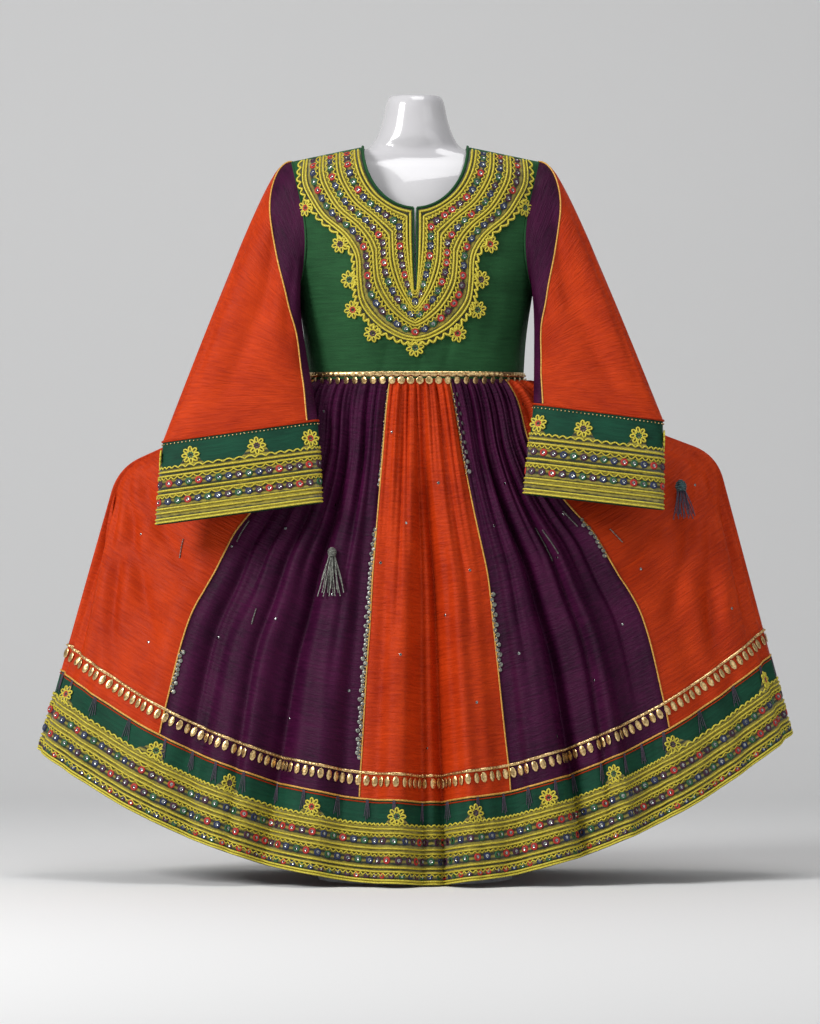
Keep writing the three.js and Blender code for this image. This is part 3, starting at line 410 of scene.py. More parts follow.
class Skirt(Cloth):
    """The skirt, with columns round it and levels from waist to hem as parameters."""

    step_a = 0.02
    step_b = 0.004

    def __init__(self, creased: bool = True) -> None:
        """Settles whether the finer folds and creases are in it."""
        self.creased = creased
        self.left = (460.0, 635.0, 582.0, 199.0)
        self.right = (467.0, 655.0, 582.0, 224.0)

    def side_fold(self, side: tuple[float, float, float, float], level: Array) -> tuple[Array, Array]:
        """Where the lifted fold of one side runs: its x and z at each level."""
        lift_x, lift_z, corner_x, corner_z = side
        low, high = LIFT_LEVEL - LIFT_ROUNDING, LIFT_LEVEL + LIFT_ROUNDING
        result = []
        for start, lift, corner in ((166.75, lift_x, corner_x), (WAIST_Z, lift_z, corner_z)):
            outward = lerp(start, lift, level / LIFT_LEVEL)
            downward = lerp(lift, corner, (level - LIFT_LEVEL) / (1 - LIFT_LEVEL))
            past = clamp((level - low) / (high - low), 0, 1)
            enter = lerp(start, lift, low / LIFT_LEVEL)
            leave = lerp(lift, corner, (high - LIFT_LEVEL) / (1 - LIFT_LEVEL))
            rounded = lerp(lerp(enter, lift, past), lerp(lift, leave, past), past)
            result.append(np.where(past <= 0, outward, np.where(past >= 1, downward, rounded)))
        return result[0], result[1]

    def angle(self, column: Array, level: Array) -> Array:
        """The angle of each column in radians: 0 faces front and a half turn faces back."""
        turned = np.mod(column, SKIRT_COLUMNS)
        is_back = turned > HALF_COLUMNS
        on_front = np.where(is_back, SKIRT_COLUMNS - turned, turned)
        seams = np.stack([curve(level) for curve in SEAM_CURVES])
        k = clamp(np.searchsorted(SEAM_COLUMNS, on_front, side="left") - 1, 0, len(SEAM_COLUMNS) - 2)
        start = np.take_along_axis(seams, k[None], axis=0)[0]
        end = np.take_along_axis(seams, k[None] + 1, axis=0)[0]
        share = (on_front - SEAM_COLUMNS[k]) / (SEAM_COLUMNS[k + 1] - SEAM_COLUMNS[k])
        angle = lerp(start, end, share)
        return np.radians(np.where(is_back, 180 - angle, angle))

    def base(self, column: Array, level: Array) -> Array:
        """Points of the skirt without any folds."""
        angle = self.angle(column, level)
        across, facing = np.sin(angle), np.cos(angle)
        left_x, left_z = self.side_fold(self.left, level)
        right_x, right_z = self.side_fold(self.right, level)
        fold_x = np.where(across < 0, left_x, right_x)
        fold_z = np.where(across < 0, left_z, right_z)
        depth = lerp(WAIST_DEPTH, HEM_DEPTH, level**0.9)
        at_waist = (1 - np.minimum(np.abs(across), 1) ** BODY_POWER) ** (1 / BODY_POWER)
        below = np.abs(facing) ** SIDE_SHARPNESS(level)
        y = depth * lerp(at_waist, below, smoothstep(level, 0, 0.12))
        z = lerp(lerp(WAIST_Z, HEM_Z, level), fold_z, across * across)
        return stack(fold_x * across, -np.sign(facing) * y, z)

    def fold_height(self, column: Array, level: Array) -> Array:
        """How far folds, gathers and creases stand out."""
        turned = np.mod(column, SKIRT_COLUMNS)
        hanging = -FOLD_CURVE(turned) * smoothstep(level, 0.02, 0.8) * np.cos(math.pi * turned / 3)
        fading = smoothstep(level, 0, 0.03) * (1 - smoothstep(level, 0.06, 0.42))
        height = hanging - GATHER_DEPTH * fading * np.cos(2 * math.pi * turned / 3)
        if not self.creased:
            return height
        away = smoothstep(from_side_fold(turned), 0.0, 1.2)
        upper = smoothstep(level, 0, 0.02) * (1 - smoothstep(level, 0.05, 0.5)) * away
        height = height + upper * (2.4 * np.sin(4.7 * turned + 0.6) + 1.5 * np.sin(8.3 * turned + 2.1))
        lower = smoothstep(level, 0.1, 0.55) * away
        height = height + lower * (2.2 * np.sin(2.35 * turned + 1.3) + 1.2 * np.sin(3.9 * turned))
        from_left = np.minimum(turned, SKIRT_COLUMNS - turned)
        from_right = np.abs(turned - HALF_COLUMNS)
        is_back = turned > HALF_COLUMNS
        shift = np.where(is_back, 0.35, 0.0)
        for crease in SKIRT_CREASES:
            near_left = crease.height(from_left + shift, level)
            near_right = crease.height(from_right - shift + 0.4 * np.sin(7 * crease.width), level + 0.02)
            height = height + away * (near_left * (1 - 0.25 * is_back) + 0.85 * near_right)
        return height

    def outward(self, a: Array, b: Array) -> Array:
        """Level directions away from the post."""
        base = self.base(a, b)
        return stack(base[..., 0], base[..., 1], 0.0)

    def flattened(self, surface: Callable[[Array, Array], Array], a: Array, b: Array) -> Array:
        """Outward normals of a surface: sideways at the side folds, and level at the waist."""
        b0, b1 = np.maximum(b - self.step_b, 0), np.minimum(b + self.step_b, 1)
        along_a = surface(a + self.step_a, b) - surface(a - self.step_a, b)
        along_b = surface(a, b1) - surface(a, b0)
        normal = unit(np.cross(along_b, along_a))
        at_fold = np.abs(a - HALF_COLUMNS * np.round(a / HALF_COLUMNS)) < 0.3
        normal[..., 1] = np.where(at_fold, 0, normal[..., 1])
        normal[..., 2] = np.where(b < 0.001, 0, normal[..., 2])
        return unit(normal)

    def point(self, a: Array, b: Array) -> Array:
        """Points of the skirt with its folds."""
        return self.base(a, b) + self.flattened(self.base, a, b) * self.fold_height(a, b)[..., None]

    def normal(self, a: Array, b: Array) -> Array:
        """Outward normals of the skirt with its folds."""
        return self.flattened(self.point, a, b)


@dataclass(frozen=True)
class SleeveShape:
    """Where one sleeve's cuff lies, seen from the front, and how far it comes forward."""

    name: str
    sign: int
    top: tuple[float, float, float, float]
    bottom: tuple[float, float, float, float]
    forward: float = 117.0


SLEEVES = (
    SleeveShape("left", -1, (384, 675, 150, 708), (392, 547, 144, 581)),
    SleeveShape("right", 1, (377, 708, 182, 733), (375, 570, 167, 594)),
)


class Cuff(Cloth):
    """A cuff, with the angle round it in degrees and the share from its upper to its lower edge."""

    step_a = 0.5
    step_b = 0.02

    def __init__(self, shape: SleeveShape) -> None:
        """Takes one sleeve's shape."""
        self.shape = shape

    def point(self, a: Array, b: Array) -> Array:
        """Points of the cuff's inner skin."""
        turn = np.radians(a)
        top, bottom = self.shape.top, self.shape.bottom
        outer_x, outer_z, inner_x, inner_z = (lerp(top[i], bottom[i], b) for i in range(4))
        to_outer = (1 + np.cos(turn)) / 2
        deep = np.sign(np.sin(turn)) * np.abs(np.sin(turn)) ** CUFF_POWER
        y = -self.shape.forward - CUFF_LEAN * b - CUFF_HALF_DEPTH * deep
        return stack(self.shape.sign * lerp(inner_x, outer_x, to_outer), y, lerp(inner_z, outer_z, to_outer))

    def outward(self, a: Array, b: Array) -> Array:
        """Away from the cuff's middle line."""
        middle = (self.point(np.zeros_like(a), b) + self.point(np.full_like(a, 180.0), b)) / 2
        return self.point(a, b) - middle


class Sleeve(Cloth):
    """A sleeve, with the angle round it in degrees and the share from the armhole to the cuff."""

    step_a = 0.5
    step_b = 0.01

    def __init__(self, shape: SleeveShape, creased: bool = True) -> None:
        """Takes one sleeve's shape and whether it has its creases."""
        self.shape = shape
        self.cuff = Cuff(shape)
        self.creased = creased

    def armhole(self, a: Array) -> tuple[Array, Array]:
        """Points and normals of the bodice's armhole edge."""
        turn = np.radians(a)
        z = lerp(ARMPIT_Z, SHOULDER_TIP_Z, (1 + np.cos(turn)) / 2)
        x = self.shape.sign * edge_half_width(z)
        front, back = BodiceFace(-1), BodiceFace(1)
        is_front = (np.sin(turn) >= 0)[..., None]
        point = np.where(is_front, front.point(x, z), back.point(x, z))
        normal = np.where(is_front, front.normal(x, z), back.normal(x, z))
        at_seam = np.abs(np.sin(turn)) < 1e-6
        point[..., 1] = np.where(at_seam, 0, point[..., 1])
        normal[..., 1] = np.where(at_seam, 0, normal[..., 1])
        return point, unit(normal)

    def point(self, a: Array, b: Array) -> Array:
        """Points of the sleeve's inner skin."""
        turn = np.radians(a)
        sign = self.shape.sign
        start, normal = self.armhole(a)
        under = smoothstep(0.5 - 0.5 * np.cos(turn), 0.3, 0.8)
        start = start + normal * (under * (2 * WALL + ARMHOLE_GAP))[..., None]
        start[..., 0] += sign * (ARMHOLE_GAP + WALL * (1 - under))
        end = self.cuff.point(a, np.zeros_like(b))
        reach = clamp(b, 0, 1) ** 0.4
        outward = SLEEVE_BULGE * 4 * reach * (1 - reach) * (0.5 + 0.5 * np.cos(turn))
        off = np.mod(np.mod(a - 70, 360) + 540, 360) - 180
        fold = 5 * np.exp(-((off / 22) ** 2)) * np.sin(math.pi * b)
        point = lerp(start, end, b[..., None])
        point[..., 0] += sign * outward
        point[..., 1] += fold
        depth = np.where(point[..., 1] < 0, BODY_FRONT(point[..., 2]), BODY_BACK(point[..., 2]))
        across = np.minimum(np.abs(point[..., 1]) / depth, 1) ** BODY_POWER
        side = BODY_WIDTH(point[..., 2]) * (1 - across) ** (1 / BODY_POWER)
        over = np.abs(point[..., 0]) - side - WALL - BODY_CLEARANCE
        amount = smoothstep(b, 0, 0.05) * (1 - smoothstep(b, 0.7, 1))
        point[..., 0] += sign * amount * (np.hypot(over, BODY_BLEND) - over) / 2
        return point

    def outward(self, a: Array, b: Array) -> Array:
        """Away from the sleeve's middle line."""
        middle = (self.point(np.zeros_like(a), b) + self.point(np.full_like(a, 180.0), b)) / 2
        return self.point(a, b) - middle

    def at(self, a: Array | float, b: Array | float, out: Array | float = 0.0) -> Array:
        """Points moved out along the normals, with the creases."""
        a, b, out = np.broadcast_arrays(np.asarray(a, float), np.asarray(b, float), np.asarray(out, float))
        turned = np.mod(a + 180, 360) - 180
        height = sum(crease.height(turned, b) for crease in SLEEVE_CREASES) if self.creased else 0
        return self.point(a, b) + self.normal(a, b) * (out + height)[..., None]


@dataclass
class Patch:
    """A mesh in plain arrays: points in millimetres, faces, UVs in metres, and a material for each face."""

    points: Array
    faces: list[tuple[int, ...]]
    uvs: Array
    slots: Array

    @staticmethod
    def joined(patches: Sequence["Patch"]) -> "Patch":
        """Several patches as one."""
        faces: list[tuple[int, ...]] = []
        start = 0
        for patch in patches:
            faces.extend(tuple(i + start for i in face) for face in patch.faces)
            start += len(patch.points)
        return Patch(
            np.concatenate([patch.points for patch in patches]),
            faces,
            np.concatenate([patch.uvs for patch in patches]),
            np.concatenate([patch.slots for patch in patches]),
        )


def grid(across: int, along: int) -> tuple[Array, list[tuple[int, ...]]]:
    """A flat grid made in bmesh.

    Args:
        across: faces in the first direction.
        along: faces in the second direction.

    Returns:
        The vertices' two shares, from 0 to 1, and the faces.
    """
    mesh = bmesh.new()
    bmesh.ops.create_grid(mesh, x_segments=across, y_segments=along, size=0.5)
    shares = np.array([vertex.co.xy[:] for vertex in mesh.verts]) + 0.5
    mesh.verts.index_update()
    faces = [tuple(vertex.index for vertex in face.verts) for face in mesh.faces]
    mesh.free()
    return shares, faces


def surface_patch(
    across: int,
    along: int,
    place: Callable[[Array, Array], tuple[Array, Array]],
    slot: int = 0,
) -> Patch:
    """A grid laid on a surface.

    Args:
        across: faces in the first direction.
        along: faces in the second direction.
        place: gives points in millimetres and UVs in metres for the grid's shares.
        slot: the material slot of its faces.

    Returns:
        The patch.
    """
    shares, faces = grid(across, along)
    points, uvs = place(shares[:, 0], shares[:, 1])
    return Patch(points, faces, uvs, np.full(len(faces), slot))


def tube_patch(
    path: Array, up: Array, radius: float, sides: int = 5, closed: bool = False, slot: int = 0
) -> Patch:
    """A thin tube along a path.

    Args:
        path: its middle line, a row for each point.
        up: a direction across the path at each point.
        radius: its radius.
        sides: its number of sides.
        closed: whether the path's ends meet.
        slot: the material slot of its faces.

    Returns:
        The patch.
    """
    ahead = np.roll(path, -1, axis=0) if closed else np.vstack([path[1:], path[-1:]])
    behind = np.roll(path, 1, axis=0) if closed else np.vstack([path[:1], path[:-1]])
    along = unit(ahead - behind)
    side = unit(np.cross(along, up))
    upright = np.cross(side, along)
    turns = 2 * math.pi * np.arange(sides) / sides
    rings = (
        path[:, None]
        + radius * np.cos(turns)[None, :, None] * upright[:, None]
        + radius * np.sin(turns)[None, :, None] * side[:, None]
    )
    count = len(path)
    spans = count if closed else count - 1
    faces = []
    for i in range(spans):
        following = (i + 1) % count
        for j in range(sides):
            k = (j + 1) % sides
            faces.append((i * sides + j, i * sides + k, following * sides + k, following * sides + j))
    length = np.concatenate([[0], np.cumsum(np.linalg.norm(np.diff(path, axis=0), axis=1))]) * MM
    uvs = stack(np.repeat(length, sides), np.tile(np.arange(sides) / sides * 0.01, count), 0)[:, :2]
    return Patch(rings.reshape(-1, 3), faces, uvs, np.full(len(faces), slot))


def scattered(template: Patch, places: Array, sides: Array, ups: Array, slots: Array | None = None) -> Patch:
    """Copies of a small patch, each placed in its own frame.

    Args:
        template: the patch, its z pointing up.
        places: where each copy's origin goes.
        sides: each copy's x direction.
        ups: each copy's z direction.
        slots: for each copy, the slot that takes the place of slot 1.

    Returns:
        One joined patch.
    """
    ups = unit(ups)
    sides = unit(sides - ups * np.sum(sides * ups, axis=1, keepdims=True))
    third = np.cross(ups, sides)
    frames = np.stack([sides, third, ups], axis=1)
    points = np.einsum("pk,nkc->npc", template.points, frames) + places[:, None]
    size = len(template.points)
    faces = [tuple(i + size * n for i in face) for n in range(len(places)) for face in template.faces]
    kinds = np.tile(template.slots, (len(places), 1))
    if slots is not None:
        kinds = np.where(kinds == 1, slots[:, None], kinds)
    return Patch(points.reshape(-1, 3), faces, np.tile(template.uvs, (len(places), 1)), kinds.reshape(-1))


def ring_patch(profile: Sequence[tuple[float, float]], turns: int, slots: Sequence[int]) -> Patch:
    """A small turned piece: rings of (radius, height) from its rim inwards, closed at its middle.

    Args:
        profile: radius and height of each ring, in millimetres.
        turns: points in each ring.
        slots: the slot of each band of faces, the middle last.

    Returns:
        The patch.
    """
    angles = 2 * math.pi * np.arange(turns) / turns
    rings = [stack(radius * np.cos(angles), radius * np.sin(angles), height) for radius, height in profile]
    faces: list[tuple[int, ...]] = []
    kinds = []
    for k in range(len(profile) - 1):
        for i in range(turns):
            j = (i + 1) % turns
            faces.append((k * turns + i, k * turns + j, (k + 1) * turns + j, (k + 1) * turns + i))
            kinds.append(slots[k])
    faces.append(tuple((len(profile) - 1) * turns + i for i in range(turns)))
    kinds.append(slots[-1])
    points = np.concatenate(rings)
    return Patch(points, faces, points[:, :2] * MM, np.array(kinds))


PETAL_SLOT = 5
MIRROR = ring_patch([(5.9, -0.2), (5.6, 1.2), (4.3, 1.7), (2.7, 1.1), (2.4, 0.8)], 12, [1, 1, 1, 0, 0])
SMALL_MIRROR = ring_patch([(4.7, -0.2), (4.4, 1.1), (3.3, 1.4), (2.0, 0.8)], 10, [1, 1, 1, 0])
SEQUIN = ring_patch([(3.4, 0.0), (2.9, 0.35), (0.8, 0.2)], 9, [0, 0, 0])
DROP = Patch(SEQUIN.points * np.array([1.4, 2.4, 1.8]), SEQUIN.faces, SEQUIN.uvs, SEQUIN.slots)
BEAD = ring_patch([(0.9, -0.9), (1.25, 0.0), (0.9, 0.9), (0.2, 1.1)], 6, [0, 0, 0, 0])


def petals(count: int, reach: float, size: float) -> Patch:
    """A flower of looped cord round a middle, in slot 0."""
    loops = []
    for i in range(count):
        middle = 2 * math.pi * i / count
        turn = np.linspace(0, 2 * math.pi, 9)[:-1]
        along = reach + size * np.cos(turn)
        aside = 0.62 * size * np.sin(turn)
        x = along * math.cos(middle) - aside * math.sin(middle)
        y = along * math.sin(middle) + aside * math.cos(middle)
        path = stack(x, y, 0.9)
        ups = np.tile([0.0, 0.0, 1.0], (len(path), 1))
        loops.append(tube_patch(path, ups, 1.35, 4, closed=True, slot=PETAL_SLOT))
    return Patch.joined(loops)


FLOWER_DISC = ring_patch([(11.0, 0.0), (10.4, 0.9), (3.0, 1.0)], 16, [6, 6, 6])
FLOWER = Patch.joined([petals(8, 9.2, 4.2), MIRROR, FLOWER_DISC])


class Finishes:
    """Builds and keeps the materials."""

    def __init__(self) -> None:
        """Builds the shared node groups."""
        self.crinkle = self._noise_group("Crinkle", (16, 130, 1), 2.0, 5.0)
        self.weave = self._noise_group("Weave", (600, 900, 1), 1.0, 2.0)
        self.made: dict[str, bpy.types.Material] = {}

    @staticmethod
    def _noise_group(
        name: str, stretch: tuple[float, float, float], scale: float, detail: float
    ) -> bpy.types.NodeTree:
        """A group that turns a UV vector into a height: stretched noise.

        Args:
            name: the group's name.
            stretch: how much the vector is scaled on each axis.
            scale: the noise's scale.
            detail: the noise's detail.

        Returns:
            The node group.
        """
        tree = bpy.data.node_groups.new(name, "ShaderNodeTree")
        tree.interface.new_socket("Vector", in_out="INPUT", socket_type="NodeSocketVector")
        tree.interface.new_socket("Height", in_out="OUTPUT", socket_type="NodeSocketFloat")
        start = tree.nodes.new("NodeGroupInput")
        end = tree.nodes.new("NodeGroupOutput")
        mapping = tree.nodes.new("ShaderNodeMapping")
        mapping.inputs["Scale"].default_value = stretch
        noise = tree.nodes.new("ShaderNodeTexNoise")
        noise.inputs["Scale"].default_value = scale
        noise.inputs["Detail"].default_value = detail
        noise.inputs["Roughness"].default_value = 0.6
        noise.inputs["Distortion"].default_value = 0.4
        tree.links.new(start.outputs["Vector"], mapping.inputs["Vector"])
        tree.links.new(mapping.outputs["Vector"], noise.inputs["Vector"])
        tree.links.new(noise.outputs["Fac"], end.inputs["Height"])
        return tree

    def _start(self, name: str) -> tuple[bpy.types.Material, bpy.types.ShaderNode]:
        """A new material and its main shader."""
        material = bpy.data.materials.new(name)
        material.use_nodes = True
        return material, material.node_tree.nodes["Principled BSDF"]

    def cloth(self, look: "ClothLook") -> bpy.types.Material:
        """A woven cloth with crinkles, patchy colour, painted shade in the crinkle hollows and a soft sheen.
        """
        if look.name in self.made:
            return self.made[look.name]
        material, shader = self._start(look.name)
        nodes, links = material.node_tree.nodes, material.node_tree.links
        uv = nodes.new("ShaderNodeUVMap")
        uv.uv_map = UV_NAME
        crinkle = nodes.new("ShaderNodeGroup")
        crinkle.node_tree = self.crinkle
        weave = nodes.new("ShaderNodeGroup")
        weave.node_tree = self.weave
        patchy = nodes.new("ShaderNodeTexNoise")
        patchy.inputs["Scale"].default_value = 14
        patchy.inputs["Detail"].default_value = 3
        for node in (crinkle, weave, patchy):
            links.new(uv.outputs["UV"], node.inputs["Vector"])
        ramp = nodes.new("ShaderNodeValToRGB")
        ramp.color_ramp.elements[0].position = 0.3
        ramp.color_ramp.elements[0].color = (*look.dark, 1)
        ramp.color_ramp.elements[1].position = 0.62
        ramp.color_ramp.elements[1].color = (*look.light, 1)
        # Painted shade: the crinkle height darkens the colour in the crinkle hollows; the patchy noise is the
        # cloth's own uneven tone.
        blend = nodes.new("ShaderNodeMath")
        blend.operation = "MULTIPLY_ADD"
        blend.inputs[1].default_value = look.streaks
        shift = nodes.new("ShaderNodeMath")
        shift.operation = "MULTIPLY"
        shift.inputs[1].default_value = 1 - look.streaks
        links.new(patchy.outputs["Fac"], shift.inputs[0])
        links.new(crinkle.outputs["Height"], blend.inputs[0])
        links.new(shift.outputs["Value"], blend.inputs[2])
        links.new(blend.outputs["Value"], ramp.inputs["Fac"])
        links.new(ramp.outputs["Color"], shader.inputs["Base Color"])
        rough = nodes.new("ShaderNodeMapRange")
        rough.inputs["To Min"].default_value = look.roughness - 0.1
        rough.inputs["To Max"].default_value = look.roughness + 0.1
        links.new(crinkle.outputs["Height"], rough.inputs["Value"])
        links.new(rough.outputs["Result"], shader.inputs["Roughness"])
        coarse = nodes.new("ShaderNodeBump")
        coarse.inputs["Strength"].default_value = look.crinkle
        coarse.inputs["Distance"].default_value = 0.003
        fine = nodes.new("ShaderNodeBump")
        fine.inputs["Strength"].default_value = look.weave
        fine.inputs["Distance"].default_value = 0.0006
        links.new(crinkle.outputs["Height"], coarse.inputs["Height"])
        links.new(weave.outputs["Height"], fine.inputs["Height"])
        links.new(coarse.outputs["Normal"], fine.inputs["Normal"])
        links.new(fine.outputs["Normal"], shader.inputs["Normal"])
        shader.inputs["Sheen Weight"].default_value = look.sheen
        shader.inputs["Sheen Roughness"].default_value = 0.4
        shader.inputs["Sheen Tint"].default_value = (*look.sheen_tint, 1)
        shader.inputs["Specular IOR Level"].default_value = 0.12
        self.made[look.name] = material
        return material

    def stitched(self, look: "StitchLook") -> bpy.types.Material:
        """Satin stitches that fill a band, with the ground showing between their rows."""
        if look.name in self.made:
            return self.made[look.name]
        material, shader = self._start(look.name)
        nodes, links = material.node_tree.nodes, material.node_tree.links
        uv = nodes.new("ShaderNodeUVMap")
        uv.uv_map = UV_NAME
        threads = nodes.new("ShaderNodeTexWave")
        threads.bands_direction = "X"
        threads.inputs["Scale"].default_value = look.threads
        threads.inputs["Distortion"].default_value = 2.2
        threads.inputs["Detail"].default_value = 2
        rows = nodes.new("ShaderNodeTexWave")
        rows.bands_direction = "Y"
        rows.inputs["Scale"].default_value = look.rows
        rows.inputs["Distortion"].default_value = 1.5
        rows.inputs["Detail"].default_value = 2
        patchy = nodes.new("ShaderNodeTexNoise")
        patchy.inputs["Scale"].default_value = 160
        patchy.inputs["Detail"].default_value = 4
        for node in (threads, rows, patchy):
            links.new(uv.outputs["UV"], node.inputs["Vector"])
        ramp = nodes.new("ShaderNodeValToRGB")
        ramp.color_ramp.elements[0].position = 0.38
        ramp.color_ramp.elements[0].color = (*look.ground, 1)
        ramp.color_ramp.elements[1].position = 0.52
        ramp.color_ramp.elements[1].color = (*look.dark, 1)
        bright = ramp.color_ramp.elements.new(0.78)
        bright.color = (*look.light, 1)
        mixed = nodes.new("ShaderNodeMath")
        mixed.operation = "MULTIPLY_ADD"
        mixed.inputs[1].default_value = 0.45
        shift = nodes.new("ShaderNodeMath")
        shift.operation = "MULTIPLY"
        shift.inputs[1].default_value = 0.6
        links.new(patchy.outputs["Fac"], shift.inputs[0])
        links.new(rows.outputs["Fac"], mixed.inputs[0])
        links.new(shift.outputs["Value"], mixed.inputs[2])
        links.new(mixed.outputs["Value"], ramp.inputs["Fac"])
        links.new(ramp.outputs["Color"], shader.inputs["Base Color"])
        height = nodes.new("ShaderNodeMath")
        height.operation = "ADD"
        links.new(threads.outputs["Fac"], height.inputs[0])
        links.new(rows.outputs["Fac"], height.inputs[1])
        bump = nodes.new("ShaderNodeBump")
        bump.inputs["Strength"].default_value = 0.8
        bump.inputs["Distance"].default_value = 0.0012
        links.new(height.outputs["Value"], bump.inputs["Height"])
        links.new(bump.outputs["Normal"], shader.inputs["Normal"])
        shader.inputs["Roughness"].default_value = 0.55
        shader.inputs["Metallic"].default_value = 0.15
        shader.inputs["Sheen Weight"].default_value = 0.2
        self.made[look.name] = material
        return material

    def plain(self, look: "PlainLook") -> bpy.types.Material:
        """Metal, bead, thread, plastic or glass with a little grain and wear."""
        if look.name in self.made:
            return self.made[look.name]
        material, shader = self._start(look.name)
        nodes, links = material.node_tree.nodes, material.node_tree.links
        coordinates = nodes.new("ShaderNodeTexCoord")
        noise = nodes.new("ShaderNodeTexNoise")
        noise.inputs["Scale"].default_value = look.grain
        noise.inputs["Detail"].default_value = 3
        links.new(coordinates.outputs["Object"], noise.inputs["Vector"])
        ramp = nodes.new("ShaderNodeValToRGB")
        ramp.color_ramp.elements[0].position = 0.35
        ramp.color_ramp.elements[0].color = (*look.dark, 1)
        ramp.color_ramp.elements[1].position = 0.6
        ramp.color_ramp.elements[1].color = (*look.light, 1)
        links.new(noise.outputs["Fac"], ramp.inputs["Fac"])
        links.new(ramp.outputs["Color"], shader.inputs["Base Color"])
        rough = nodes.new("ShaderNodeMapRange")
        rough.inputs["To Min"].default_value = max(look.roughness - 0.06, 0.02)
        rough.inputs["To Max"].default_value = look.roughness + 0.08
        links.new(noise.outputs["Fac"], rough.inputs["Value"])
        links.new(rough.outputs["Result"], shader.inputs["Roughness"])
        if look.bump > 0:
            bump = nodes.new("ShaderNodeBump")
            bump.inputs["Strength"].default_value = look.bump
            bump.inputs["Distance"].default_value = 0.0006
            links.new(noise.outputs["Fac"], bump.inputs["Height"])
            links.new(bump.outputs["Normal"], shader.inputs["Normal"])
        shader.inputs["Metallic"].default_value = look.metallic
        shader.inputs["Coat Weight"].default_value = look.coat
        self.made[look.name] = material
        return material


Colour = tuple[float, float, float]


@dataclass(frozen=True)
class ClothLook:
    """Colours and surface of a woven cloth."""

    name: str
    light: Colour
    dark: Colour
    sheen_tint: Colour
    roughness: float = 0.5
    sheen: float = 0.3
    crinkle: float = 0.5
    weave: float = 0.3
    # Share of the colour set by the crinkle height, which paints shade into the crinkle hollows.
    streaks: float = 0.5


@dataclass(frozen=True)
class StitchLook:
    """Colours and spacing of a field of satin stitches."""

    name: str
    light: Colour
    dark: Colour
    ground: Colour
    threads: float = 260.0
    rows: float = 42.0


@dataclass(frozen=True)
class PlainLook:
    """Colours and surface of a small hard or thread-like piece."""

    name: str
    light: Colour
    dark: Colour
    roughness: float
    metallic: float = 0.0
    grain: float = 300.0
    bump: float = 0.2
    coat: float = 0.0


class Look(Enum):
    """Every finish of the dress and its form."""

    ORANGE = ClothLook(
        "orange_silk", (0.56, 0.045, 0.004), (0.31, 0.017, 0.002), (1, 0.3, 0.1), 0.5, 0.03, 0.9
    )
    PURPLE = ClothLook(
        "purple_silk", (0.058, 0.004, 0.034), (0.015, 0.0014, 0.012), (0.7, 0.05, 0.3), 0.5, 0.04, 0.8
    )
    GREEN = ClothLook(
        "bodice_cotton", (0.02, 0.09, 0.031), (0.009, 0.042, 0.015), (0.3, 0.7, 0.4), 0.7, 0.05, 0.3, 0.6
    )
    BAND = ClothLook(
        "band_cotton", (0.01, 0.07, 0.038), (0.005, 0.03, 0.018), (0.3, 0.8, 0.6), 0.65, 0.05, 0.3, 0.6
    )
    STITCH = StitchLook("gold_stitch", (0.42, 0.35, 0.035), (0.16, 0.13, 0.014), (0.012, 0.022, 0.006))
    CORD = PlainLook("gold_cord", (0.66, 0.56, 0.05), (0.4, 0.31, 0.022), 0.5, 0.1, 500, 0.6)
    LEMON = PlainLook("lemon_cord", (0.72, 0.62, 0.06), (0.46, 0.38, 0.03), 0.55, 0.05, 500, 0.6)
    PIPING = PlainLook("piping_cord", (0.74, 0.42, 0.08), (0.48, 0.2, 0.03), 0.45, 0.2, 500, 0.5)
    BRAID = PlainLook("gold_metal", (0.85, 0.62, 0.3), (0.5, 0.3, 0.11), 0.28, 0.9, 300, 0.4)
    SILVER = PlainLook("silver_bead", (0.3, 0.31, 0.27), (0.1, 0.1, 0.09), 0.35, 0.6, 400, 0.3)
    GLASS = PlainLook("mirror_glass", (0.42, 0.44, 0.42), (0.16, 0.17, 0.17), 0.16, 1.0, 60, 0.0)
    RED = PlainLook("red_thread", (0.5, 0.018, 0.01), (0.24, 0.008, 0.006), 0.6, 0, 700, 0.6)
    LEAF = PlainLook("leaf_thread", (0.012, 0.11, 0.035), (0.006, 0.045, 0.014), 0.6, 0, 700, 0.6)
    PLUM = PlainLook("plum_thread", (0.06, 0.006, 0.035), (0.02, 0.003, 0.014), 0.6, 0, 700, 0.6)
    BLUE = PlainLook("blue_thread", (0.008, 0.02, 0.09), (0.004, 0.008, 0.035), 0.6, 0, 700, 0.6)
    TEAL = PlainLook("teal_bead", (0.05, 0.12, 0.13), (0.02, 0.05, 0.06), 0.3, 0.2, 200, 0.3, 0.4)
    FORM = PlainLook("white_plastic", (0.6, 0.59, 0.6), (0.53, 0.52, 0.54), 0.16, 0.0, 6, 0.02, 0.8)
    STEEL = PlainLook("satin_steel", (0.5, 0.51, 0.53), (0.4, 0.41, 0.43), 0.34, 1.0, 80, 0.1)
    THREAD = PlainLook("grey_thread", (0.1, 0.07, 0.11), (0.04, 0.03, 0.05), 0.6, 0.1, 700, 0.5)


RING_LOOKS = (Look.RED, Look.LEAF, Look.PLUM, Look.BLUE)


@dataclass(frozen=True)
class Cut:
    """The flat cut of one cloth piece that shows: width and length in metres, area in square metres."""

    width: float
    length: float
    area: float
    held: str
    rests_on: tuple[str, ...]


